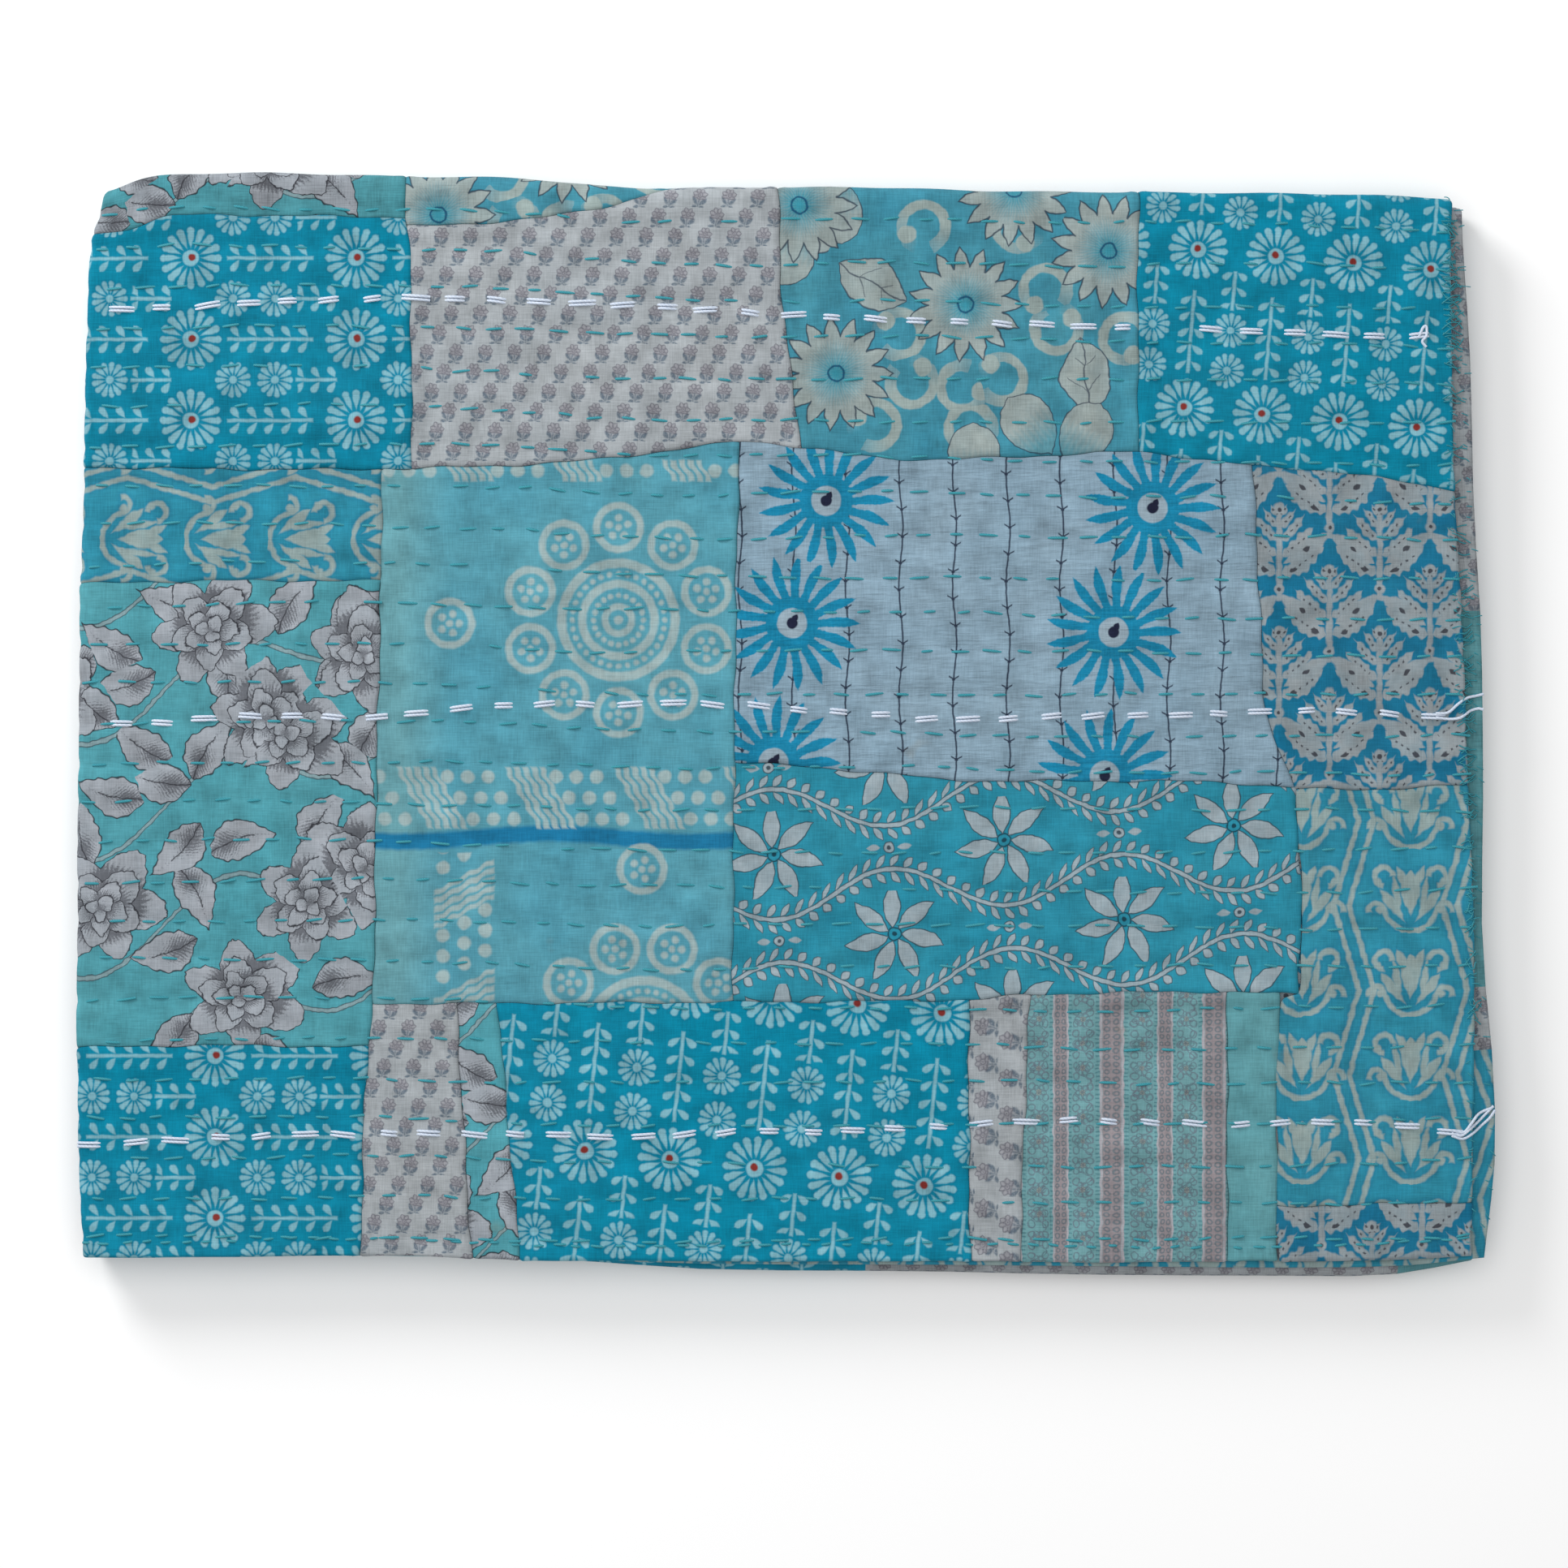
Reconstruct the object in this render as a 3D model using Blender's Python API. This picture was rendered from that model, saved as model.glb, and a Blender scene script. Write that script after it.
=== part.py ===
"""A running-stitch patchwork quilt, folded in half and then back and forth in four.

The quilt is made flat, as on the sewing table: one closed slab of quilted cloth, pinched
along its quilting rows and thinner at its turned hems. A folding function then carries
every point of the flat quilt to its place. The quilt is first doubled over a long fold on
the left, which brings its two hems together on the right. The doubled cloth then goes back
and forth three times, over a fold at the far side, one at the near side and one at the far
side again. Short tables say how unevenly each fold and hem lies.

Units are metres and +Z is up. The origin is on the floor under the middle of the stack.
"""

import math
from collections import namedtuple

import bmesh
import bpy

MM = 0.001

# Driving sizes of the folded quilt
WIDTH = 0.762  # from the left fold to the hem that reaches furthest right
DEPTH = 0.592  # from the near side to the far side
PLY = 0.0028  # the quilted cloth, three thin cottons sewn through
GAP = 0.0010  # air between two plies
PANELS = 4  # lengths of doubled cloth that lie on each other

# Sizes that follow from them
PAIR = 2 * PLY + GAP
HALF_PAIR = PAIR / 2
PLY_MIDDLE = (PLY + GAP) / 2  # from the middle of a doubled panel to the middle of a ply
TURN = (PAIR + GAP) / 2  # radius of a doubled panel's middle where it turns back
STACK = PANELS * PAIR + (PANELS - 1) * GAP
LAST = PANELS - 1

# Quilting and hems
QUILTING_ROWS = 27  # running-stitch rows across the top panel, about 22 mm apart
PINCH = 0.62  # thickness left under a row of stitches
ROW_WANDER = 0.0011  # how far a row strays from its even place, in panel lengths
HEM_ROUND = 0.0014  # the last stretch of cloth, which thins into the rounded hem
HEM_THIN = 0.5  # thickness left at the very edge of a hem

# Unevenness of the whole stack
SWELL = 0.045  # share of the height that the stack rises or sinks
SWELL_WAVE_X = 0.47
SWELL_WAVE_Y = 0.39
CORNER_PUSH = 0.008  # how far the soft doubled corner at the far left draws in
CORNER_SPREAD = 0.019

# How finely the cloth is divided
EDGE_FOLD_STEPS = 6
TURN_STEPS = 8
ACROSS = (0.02, 0.07, 0.2, 0.4, 0.62, 0.84, 0.97)  # places between the left fold and a hem
PLAIN_PANEL = (0.03, 0.14, 0.26, 0.38, 0.5, 0.62, 0.74, 0.86, 0.97)  # places along a panel inside the stack

# Where the sides lie. along counts panels from the first hem. left, front and back say how
# many millimetres the left fold and the right hems of the two plies stay inside WIDTH.
SideRow = namedtuple("SideRow", "along left front back")
SIDES = (
    SideRow(0.00, 3.0, 14.8, 7.0),
    SideRow(0.10, 0.3, 13.8, 1.2),
    SideRow(0.20, 0.0, 13.3, 3.0),
    SideRow(0.30, 0.2, 12.8, 8.0),
    SideRow(0.45, 0.8, 16.0, 7.5),
    SideRow(0.60, 1.6, 19.5, 8.6),
    SideRow(0.72, 3.4, 23.4, 12.6),
    SideRow(0.86, 5.2, 24.8, 14.6),
    SideRow(1.00, 6.6, 25.4, 19.0),
    SideRow(1.50, 4.6, 18.0, 21.0),
    SideRow(2.00, 3.2, 9.5, 12.0),
    SideRow(2.50, 3.6, 14.0, 10.5),
    SideRow(3.00, 7.2, 19.0, 22.0),
    SideRow(3.50, 5.0, 15.5, 18.5),
    SideRow(4.00, 5.6, 12.5, 15.0),
)

# Where the folds and hems lie at the near and far sides, in millimetres inside DEPTH.
# across counts from the left fold to the right hem. The hems of the first and last panels
# are at the near side, front and back being the two plies.
TurnRow = namedtuple(
    "TurnRow", "across first_front first_back far_top near far_low last_front last_back"
)
TURNS = (
    TurnRow(0.00, 11.0, 12.4, 1.6, 12.6, 3.5, 14.5, 16.0),
    TurnRow(0.11, 11.6, 12.8, 0.0, 12.0, 2.6, 13.0, 14.5),
    TurnRow(0.23, 12.0, 12.9, 0.9, 12.4, 3.2, 12.8, 14.0),
    TurnRow(0.31, 10.0, 11.6, 2.7, 10.4, 5.2, 12.5, 14.2),
    TurnRow(0.38, 9.6, 8.8, 6.8, 6.6, 8.6, 11.0, 13.0),
    TurnRow(0.45, 9.5, 7.2, 8.0, 3.4, 10.0, 9.0, 11.4),
    TurnRow(0.60, 9.4, 6.8, 7.8, 2.4, 9.8, 8.2, 10.0),
    TurnRow(0.72, 8.8, 6.0, 10.0, 0.6, 12.0, 7.4, 9.6),
    TurnRow(0.86, 9.4, 5.2, 10.4, 0.0, 12.2, 7.0, 9.4),
    TurnRow(0.94, 10.4, 6.2, 12.2, 0.6, 13.6, 8.6, 10.0),
    TurnRow(1.00, 12.4, 10.6, 14.2, 8.4, 15.8, 11.0, 12.2),
)

# Stations of the flat quilt. Each says where a line of its points comes to lie.
# A column is a place on the front or back ply, or on the long fold between them.
Column = namedtuple("Column", "ply share angle thin")
# A row is a place along one panel, or on the turn that follows it.
Row = namedtuple("Row", "panel share angle thin")


def read_row(rows, name, at):
    """The value of a column of a table at a place, on a curve through the rows."""
    last = len(rows) - 1
    index = 0
    while index < last - 1 and rows[index + 1][0] < at:
        index += 1
    before, here = rows[max(index - 1, 0)], rows[index]
    there, after = rows[index + 1], rows[min(index + 2, last)]
    span = there[0] - here[0]
    start, end = getattr(here, name), getattr(there, name)
    slope_in = (end - getattr(before, name)) / (there[0] - before[0]) * span
    slope_out = (getattr(after, name) - start) / (after[0] - here[0]) * span
    t = min(max((at - here[0]) / span, 0.0), 1.0)
    keep = (1 + 2 * t) * (1 - t) ** 2
    rise_in = t * (1 - t) ** 2
    rise_out = t * t * (t - 1)
    return (keep * start + (1 - keep) * end + rise_in * slope_in + rise_out * slope_out) * MM


def columns():
    """Stations across the quilt: front hem, front ply, long fold, back ply, back hem."""
    rim = 1 - HEM_ROUND / WIDTH
    places = (*ACROSS, rim)
    found = [Column("front", 1.0, 0.0, HEM_THIN)]
    found += [Column("front", share, 0.0, 1.0) for share in reversed(places)]
    for step in range(EDGE_FOLD_STEPS + 1):
        found.append(Column("fold", 0.0, math.pi * step / EDGE_FOLD_STEPS, 1.0))
    found += [Column("back", share, 0.0, 1.0) for share in places]
    found.append(Column("back", 1.0, 0.0, HEM_THIN))
    return found


def quilted_rows():
    """Stations of the top panel: a pinched one on each stitch row, a full one between."""
    found = []
    steps = 2 * QUILTING_ROWS
    for step in range(1, steps):
        on_stitches = step % 2 == 1
        share = step / steps + ROW_WANDER * math.sin(2.3 * step)
        found.append(Row(0, share, None, PINCH if on_stitches else 1.0))
    return found


def turn_rows(panel):
    """Stations of the turn at the end of a panel, with the ends of both panels."""
    return [
        Row(panel, 1.0, math.pi * step / TURN_STEPS, 1.0)
        for step in range(TURN_STEPS + 1)
    ]


def rows():
    """Stations along the quilt, from the first hem over three turns to the last hem."""
    rim = HEM_ROUND / DEPTH
    found = [Row(0, 0.0, None, HEM_THIN), Row(0, rim, None, 1.0)]
    found += quilted_rows()
    for panel in range(1, PANELS):
        found += turn_rows(panel - 1)
        found += [Row(panel, share, None, 1.0) for share in PLAIN_PANEL]
    found += [Row(LAST, 1 - rim, None, 1.0), Row(LAST, 1.0, None, HEM_THIN)]
    return found


def along_panels(row):
    """How many panels lie between a station and the first hem."""
    return row.panel + row.share


def double_over(column, row, lift):
    """Fold one: the place across, and how far it lies off the doubled panel's middle."""
    along = along_panels(row)
    fold_x = -WIDTH / 2 + read_row(SIDES, "left", along) + HALF_PAIR
    if column.ply == "fold":
        radius = PLY_MIDDLE + lift
        return fold_x - radius * math.sin(column.angle), radius * math.cos(column.angle)
    hem_x = WIDTH / 2 - read_row(SIDES, column.ply, along)
    x = fold_x + column.share * (hem_x - fold_x)
    off_middle = PLY_MIDDLE + lift
    return x, off_middle if column.ply == "front" else -off_middle


def end_of_panel(panel, column):
    """The y at which the straight stretch of a panel gives way to its turn or its hem."""
    ply = "back" if column.ply == "back" else "front"
    across = column.share
    if panel < 0:
        return -DEPTH / 2 + read_row(TURNS, "first_" + ply, across)
    if panel == LAST:
        return -DEPTH / 2 + read_row(TURNS, "last_" + ply, across)
    if panel % 2 == 1:
        return -DEPTH / 2 + read_row(TURNS, "near", across) + TURN + HALF_PAIR
    name = "far_top" if panel == 0 else "far_low"
    return DEPTH / 2 - read_row(TURNS, name, across) - TURN - HALF_PAIR


def back_and_forth(column, row, off_middle):
    """Fold two: the place along and the height, from the panels and their turns."""
    goes_far = row.panel % 2 == 0
    outward = 1 if goes_far else -1
    level = STACK - HALF_PAIR - row.panel * (PAIR + GAP)
    end = end_of_panel(row.panel, column)
    if row.angle is None:
        start = end_of_panel(row.panel - 1, column)
        return start + row.share * (end - start), level + outward * off_middle
    radius = TURN + outward * off_middle
    y = end + outward * radius * math.sin(row.angle)
    return y, level - TURN + radius * math.cos(row.angle)


def settle(x, y, z):
    """The stack's soft unevenness: the drawn-in far left corner and a gently waved top."""
    from_left = x + WIDTH / 2
    from_far = DEPTH / 2 - y
    fade = math.exp(-(from_left**2 + from_far**2) / (2 * CORNER_SPREAD**2))
    swell = math.sin(math.tau * x / SWELL_WAVE_X + 0.6) * math.cos(math.tau * y / SWELL_WAVE_Y)
    push = CORNER_PUSH * fade
    return x + push, y - push, z * (1 + SWELL * swell)


def fold_point(column, row, side):
    """Where a point of the flat quilt lies once it is folded. side is 1 outside, else -1."""
    lift = side * PLY / 2 * min(column.thin, row.thin)
    x, off_middle = double_over(column, row, lift)
    y, z = back_and_forth(column, row, off_middle)
    return settle(x, y, z)


def flat_quilt(across_count, along_count):
    """A closed flat slab with one layer of faces on each side and one round the rim."""
    bm = bmesh.new()
    bmesh.ops.create_grid(
        bm, x_segments=across_count - 1, y_segments=along_count - 1, size=1.0
    )
    lifted = bmesh.ops.extrude_face_region(bm, geom=bm.faces[:])
    for part in lifted["geom"]:
        if isinstance(part, bmesh.types.BMVert):
            part.co.z = 1.0
    return bm


def folded_quilt():
    """The mesh of the folded quilt, each point of the flat one carried to its place."""
    across_stations, along_stations = columns(), rows()
    across_last, along_last = len(across_stations) - 1, len(along_stations) - 1
    bm = flat_quilt(across_last + 1, along_last + 1)
    for vertex in bm.verts:
        column = across_stations[round((vertex.co.x + 1) / 2 * across_last)]
        row = along_stations[round((vertex.co.y + 1) / 2 * along_last)]
        side = 1 if vertex.co.z > 0.5 else -1
        vertex.co = fold_point(column, row, side)
    bmesh.ops.recalc_face_normals(bm, faces=bm.faces[:])
    if bm.calc_volume(signed=True) < 0:
        bmesh.ops.reverse_faces(bm, faces=bm.faces[:])
    mesh = bpy.data.meshes.new("quilt")
    bm.to_mesh(mesh)
    bm.free()
    mesh.shade_smooth()
    return mesh


def cotton():
    """Washed block-printed cotton, turquoise on the whole and quite matt."""
    material = bpy.data.materials.new("patchwork_cotton")
    material.use_nodes = True
    shader = material.node_tree.nodes["Principled BSDF"]
    shader.inputs["Base Color"].default_value = (0.12, 0.34, 0.42, 1.0)
    shader.inputs["Roughness"].default_value = 0.92
    shader.inputs["Metallic"].default_value = 0.0
    material.diffuse_color = (0.12, 0.34, 0.42, 1.0)
    return material


def clear_scene():
    """Remove whatever the scene starts with."""
    for thing in list(bpy.data.objects):
        bpy.data.objects.remove(thing, do_unlink=True)


def main():
    clear_scene()
    collection = bpy.data.collections.new("folded_quilt")
    bpy.context.scene.collection.children.link(collection)
    quilt = bpy.data.objects.new("quilt", folded_quilt())
    quilt.data.materials.append(cotton())
    collection.objects.link(quilt)


main()
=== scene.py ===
# %% [markdown]
# # A folded patchwork quilt
#
# The quilt is a big cotton cloth: a face pieced from printed patches, a pieced back, and
# rows of running stitches through both. It lies doubled and folded back and forth in a flat
# stack. The cells below dress the plain folded solid: a fine folded cloth for the body of
# the stack, one thin sheet for each patch of the face, and every stitch as a real thread.
#
# All sizes are in metres. The stack's middle is at the origin, +X runs along its long side
# and +Z is up.

import math
from collections import namedtuple

import bpy
import numpy as np
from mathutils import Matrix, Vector


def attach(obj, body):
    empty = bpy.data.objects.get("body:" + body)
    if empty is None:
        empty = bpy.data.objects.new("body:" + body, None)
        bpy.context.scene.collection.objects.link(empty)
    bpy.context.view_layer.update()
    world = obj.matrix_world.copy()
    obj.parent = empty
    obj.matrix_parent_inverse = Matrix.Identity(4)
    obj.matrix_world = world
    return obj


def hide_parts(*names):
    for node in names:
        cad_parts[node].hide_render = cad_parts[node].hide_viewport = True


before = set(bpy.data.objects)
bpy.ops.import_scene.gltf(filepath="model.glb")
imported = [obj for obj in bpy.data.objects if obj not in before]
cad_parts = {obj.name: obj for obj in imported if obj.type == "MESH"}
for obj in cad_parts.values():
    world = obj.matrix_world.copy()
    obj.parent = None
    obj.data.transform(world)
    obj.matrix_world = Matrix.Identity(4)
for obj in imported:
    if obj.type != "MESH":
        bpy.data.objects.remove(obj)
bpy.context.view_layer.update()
scene = bpy.context.scene

# %% [markdown]
# ## The sizes of the stack
#
# A folded cloth is easiest to think of flat. Here are the same few sizes that the solid was
# built from: the ply is the quilted cloth, a pair is the doubled cloth with the air in it,
# and each pair turns back over the next one.

# %% Sizes of the stack
MM = 0.001
WIDTH = 0.762
DEPTH = 0.592
PLY = 2.8 * MM
GAP = 1.0 * MM
PANELS = 4
PAIR = 2 * PLY + GAP
HALF_PAIR = PAIR / 2
PLY_MIDDLE = (PLY + GAP) / 2
TURN = (PAIR + GAP) / 2
STACK = PANELS * PAIR + (PANELS - 1) * GAP
LAST = PANELS - 1
QUILTING_ROWS = 27
SWELL = 0.045  # how far the stack rises and sinks, as a share of its height
SWELL_WAVE_X = 0.47
SWELL_WAVE_Y = 0.39
SWELL_SHIFT = 0.6
CORNER_PUSH = 0.008
CORNER_SPREAD = 0.019
HEM_ROUND = 1.4 * MM
PATCH_ROOM = 1.8 * MM  # the body's face lies this much lower, to make room for the patches
print("stack height", round(STACK, 4))

# %% [markdown]
# ## How unevenly it is folded
#
# Nobody folds a quilt into a true rectangle. Two short tables say how far each fold and hem
# stays inside the rectangle, in millimetres, with a row for each place that matters. A smooth
# curve is read through the rows, so the edges wander as soft cloth does.

# %% Tables of the folds and hems
SideRow = namedtuple("SideRow", "along left front back")
SIDES = (
    SideRow(0.00, 3.0, 14.8, 7.0),
    SideRow(0.10, 0.3, 13.8, 1.2),
    SideRow(0.20, 0.0, 13.3, 3.0),
    SideRow(0.30, 0.2, 12.8, 8.0),
    SideRow(0.45, 0.8, 16.0, 7.5),
    SideRow(0.60, 1.6, 19.5, 8.6),
    SideRow(0.72, 3.4, 23.4, 12.6),
    SideRow(0.86, 5.2, 24.8, 14.6),
    SideRow(1.00, 6.6, 25.4, 19.0),
    SideRow(1.50, 4.6, 18.0, 21.0),
    SideRow(2.00, 3.2, 9.5, 12.0),
    SideRow(2.50, 3.6, 14.0, 10.5),
    SideRow(3.00, 7.2, 19.0, 22.0),
    SideRow(3.50, 5.0, 15.5, 18.5),
    SideRow(4.00, 5.6, 12.5, 15.0),
)
TurnRow = namedtuple(
    "TurnRow", "across first_front first_back far_top near far_low last_front last_back"
)
TURNS = (
    TurnRow(0.00, 11.0, 12.4, 1.6, 12.6, 3.5, 14.5, 16.0),
    TurnRow(0.11, 11.6, 12.8, 0.0, 12.0, 2.6, 13.0, 14.5),
    TurnRow(0.23, 12.0, 12.9, 0.9, 12.4, 3.2, 12.8, 14.0),
    TurnRow(0.31, 10.0, 11.6, 2.7, 10.4, 5.2, 12.5, 14.2),
    TurnRow(0.38, 9.6, 8.8, 6.8, 6.6, 8.6, 11.0, 13.0),
    TurnRow(0.45, 9.5, 7.2, 8.0, 3.4, 10.0, 9.0, 11.4),
    TurnRow(0.60, 9.4, 6.8, 7.8, 2.4, 9.8, 8.2, 10.0),
    TurnRow(0.72, 8.8, 6.0, 10.0, 0.6, 12.0, 7.4, 9.6),
    TurnRow(0.86, 9.4, 5.2, 10.4, 0.0, 12.2, 7.0, 9.4),
    TurnRow(0.94, 10.4, 6.2, 12.2, 0.6, 13.6, 8.6, 10.0),
    TurnRow(1.00, 12.4, 10.6, 14.2, 8.4, 15.8, 11.0, 12.2),
)


def curve_through(places, values, at):
    """A smooth curve through values at places, read at many places at once."""
    places, values = np.asarray(places, float), np.asarray(values, float)
    last = len(places) - 1
    at = np.clip(np.asarray(at, float), places[0], places[-1])
    i = np.clip(np.searchsorted(places, at, "right") - 1, 0, last - 1)
    before, after = np.maximum(i - 1, 0), np.minimum(i + 2, last)
    span = places[i + 1] - places[i]
    slope_in = (values[i + 1] - values[before]) / (places[i + 1] - places[before]) * span
    slope_out = (values[after] - values[i]) / (places[after] - places[i]) * span
    t = (at - places[i]) / span
    keep = (1 + 2 * t) * (1 - t) ** 2
    rise_in, rise_out = t * (1 - t) ** 2, t * t * (t - 1)
    return keep * values[i] + (1 - keep) * values[i + 1] + rise_in * slope_in + rise_out * slope_out


def read_row(rows, name, at):
    """A column of one of the tables, in metres."""
    return MM * curve_through([row[0] for row in rows], [getattr(row, name) for row in rows], at)


print("the left fold leans by", round(float(read_row(SIDES, "left", 1.0)), 4))

# %% [markdown]
# ## Softness shared by everything
#
# `settle` is the last touch on every point: the doubled corner at the far left draws in, and
# the stack rises and sinks a little. Because body, patches and stitches all pass through the
# same function, they stay on each other.

# %% Settle the stack


def settle(x, y, z):
    """Where points lie once the corner is drawn in and the stack has swelled."""
    from_left, from_far = x + WIDTH / 2, DEPTH / 2 - y
    fade = np.exp(-(from_left**2 + from_far**2) / (2 * CORNER_SPREAD**2))
    swell = np.sin(math.tau * x / SWELL_WAVE_X + SWELL_SHIFT)
    swell = swell * np.cos(math.tau * y / SWELL_WAVE_Y)
    push = CORNER_PUSH * fade
    return np.stack([x + push, y - push, z * (1 + SWELL * swell)], axis=-1)


def end_of_panel(panel, share, ply):
    """The y where the straight stretch of a panel gives way to its turn or its hem."""
    if panel < 0:
        return -DEPTH / 2 + read_row(TURNS, "first_" + ply, share)
    if panel == LAST:
        return -DEPTH / 2 + read_row(TURNS, "last_" + ply, share)
    if panel % 2 == 1:
        return -DEPTH / 2 + read_row(TURNS, "near", share) + TURN + HALF_PAIR
    name = "far_top" if panel == 0 else "far_low"
    return DEPTH / 2 - read_row(TURNS, name, share) - TURN - HALF_PAIR


print("corner drawn in by", CORNER_PUSH)

# %% [markdown]
# ## A place on the face
#
# The face of the top panel is nearly flat, so a place on it is given in plan, x and y. Past
# the left fold or the far turn, the same numbers go on over the bend, and past a hem they
# roll round its edge. `face_point` does this for whole arrays of places, with a lift that
# raises them off the cloth.

# %% Find points on the face
TOP_LEVEL = STACK - HALF_PAIR
HEM_RADIUS = PLY / 2
FACE_TURN = TURN + HALF_PAIR


def face_limits(cx, cy):
    """Left fold, right hem, near hem and far turn of the top panel, level with a place."""
    along = (np.asarray(cy, float) + DEPTH / 2) / DEPTH
    for _ in range(2):
        fold_x = -WIDTH / 2 + read_row(SIDES, "left", along) + HALF_PAIR
        hem_x = WIDTH / 2 - read_row(SIDES, "front", along)
        share = np.clip((cx - fold_x) / (hem_x - fold_x), 0, 1)
        near_y = end_of_panel(-1, share, "front")
        far_y = end_of_panel(0, share, "front")
        along = np.clip((cy - near_y) / (far_y - near_y), 0, 1)
    return fold_x, hem_x, near_y, far_y


def face_point(cx, cy, lift=0.0):
    """Where places on the face lie, lifted off it by a height."""
    cx, cy = np.asarray(cx, float), np.asarray(cy, float)
    fold_x, hem_x, near_y, far_y = face_limits(cx, cy)
    near_roll = np.maximum(near_y + HEM_RADIUS - cy, 0) / HEM_RADIUS
    right_roll = np.maximum(cx - hem_x + HEM_RADIUS, 0) / HEM_RADIUS
    sink = (HEM_RADIUS + lift) * (1 - np.cos(near_roll))
    sink = sink + (HEM_RADIUS + lift) * (1 - np.cos(right_roll))
    out = HALF_PAIR + lift - sink
    bend = np.maximum(fold_x - cx, 0) / HALF_PAIR
    x = np.where(bend > 0, fold_x - out * np.sin(bend), cx)
    x = np.where(right_roll > 0, hem_x - HEM_RADIUS + (HEM_RADIUS + lift) * np.sin(right_roll), x)
    off = out * np.cos(bend)
    turn = np.maximum(cy - far_y, 0) / FACE_TURN
    y = np.where(turn > 0, far_y + (TURN + off) * np.sin(turn), cy)
    rolled = near_y + HEM_RADIUS - (HEM_RADIUS + lift) * np.sin(near_roll)
    y = np.where(near_roll > 0, rolled, y)
    z = TOP_LEVEL + np.where(turn > 0, (TURN + off) * np.cos(turn) - TURN, off)
    return settle(x, y, z)


print("middle of the face", face_point(0.0, 0.0).round(4))

# %% [markdown]
# ## Creases
#
# Folding and washing have left soft creases in the cloth. They could be sculpted, but a short
# table of straight creases is easier to check and to change. Each has two ends and a width in
# pixels of the photograph, and a height in millimetres, which is negative where the cloth
# dips. `cloth_x` and `cloth_y` turn pixels into places on the cloth, here and further on.

# %% Creases, placed by pixels
PHOTO_PIXEL = 0.435 * MM  # what one pixel of the photograph covers on the cloth
PHOTO_MIDDLE_X, PHOTO_MIDDLE_Y = 970.5, 894.5  # the stack's middle in the photograph
CREASE_REACH = 0.8  # how far a crease fades out, against its width
CREASE_RISE = 1.5 * MM  # how high a crease of height 1 stands
Crease = namedtuple("Crease", "x1 y1 x2 y2 width height")
CREASES = (
    Crease(470, 672, 560, 742, 9, 0.9),
    Crease(560, 742, 700, 730, 8, 0.5),
    Crease(508, 786, 556, 842, 7, 0.8),
    Crease(629, 1037, 697, 1061, 7, 1.0),
    Crease(505, 300, 512, 560, 16, 0.8),
    Crease(1395, 250, 1410, 555, 14, 0.7),
    Crease(925, 552, 1120, 575, 12, 0.7),
    Crease(1100, 690, 1420, 700, 14, 0.4),
    Crease(1040, 830, 1300, 842, 16, 0.4),
    Crease(905, 600, 912, 930, 14, 0.8),
    Crease(1560, 720, 1580, 960, 14, 0.7),
    Crease(460, 740, 466, 1220, 14, 0.6),
    Crease(250, 560, 420, 590, 12, -0.25),
    Crease(1200, 1235, 1560, 1228, 14, 0.7),
    Crease(1770, 300, 1795, 560, 16, -0.45),
    Crease(1790, 980, 1806, 1440, 16, -0.4),
    Crease(1660, 330, 1760, 345, 12, 0.6),
    Crease(620, 1300, 640, 1540, 10, 0.6),
    Crease(120, 600, 125, 1150, 14, 0.7),
    Crease(1120, 1400, 1420, 1420, 18, 0.5),
)


def cloth_x(px):
    return (np.asarray(px, float) - PHOTO_MIDDLE_X) * PHOTO_PIXEL


def cloth_y(py):
    return (PHOTO_MIDDLE_Y - np.asarray(py, float)) * PHOTO_PIXEL


def crease_height(crease, cx, cy):
    """How far a crease raises some places: most along its middle, fading past its ends."""
    ax, ay = cloth_x(crease.x1), cloth_y(crease.y1)
    run = np.array([cloth_x(crease.x2) - ax, cloth_y(crease.y2) - ay])
    length = float(np.hypot(*run))
    t = ((cx - ax) * run[0] + (cy - ay) * run[1]) / length
    side = ((cx - ax) * -run[1] + (cy - ay) * run[0]) / length
    past = np.maximum(np.maximum(-t, t - length), 0)
    reach = CREASE_REACH * crease.width * PHOTO_PIXEL
    return CREASE_RISE * crease.height * np.exp(-(side**2 + past**2) / reach**2)


print(len(CREASES), "creases")

# %% [markdown]
# ## Quilting rows
#
# Each row of running stitches pulls the layers together, so the cloth lies in shallow troughs
# with soft ridges between them, and it puckers beside the stitches. A few crossed sine waves
# give the unevenness of washed cloth. `relief` adds all this up, and the stitches ask `row_y`
# where their row runs, so they always lie in a trough.

# %% Quilting relief
STITCH_PITCH = 17.4 * MM
ROW_DEPTH = 0.8 * MM
ROW_SOFTNESS = 3.4 * MM
ROW_SHIFT, ROW_WANDER, ROW_TREMBLE = 0.0011, 0.0022, 0.0008  # shares of the panel
PUCKER = 0.22 * MM
LOW_SWELL, SMALL_SWELL = 0.35 * MM, 0.16 * MM
TURN_SWELL, TURN_SWELL_REACH = 1.3 * MM, 8 * MM  # the bumpy edge over the far turn
LOWEST = -1.1 * MM  # any lower and the body would show through the patches


def bell(distance, width):
    """1 at no distance, fading softly to nothing by about twice the width."""
    return np.exp(-((distance / width) ** 2))


def row_share(row, cx):
    """How far along the panel a quilting row runs, wandering a little as it goes."""
    middle = (row + 0.5) / QUILTING_ROWS + ROW_SHIFT * np.sin(2.3 * (2 * row + 1))
    wander = ROW_WANDER * np.sin(cx / 0.11 + 1.7 * row)
    return middle + wander + ROW_TREMBLE * np.sin(cx / 0.031 + row)


def row_y(row, cx):
    """The y of a quilting row at some places across."""
    _, _, near_y, far_y = face_limits(cx, np.zeros_like(cx))
    return near_y + row_share(row, cx) * (far_y - near_y)


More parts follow.
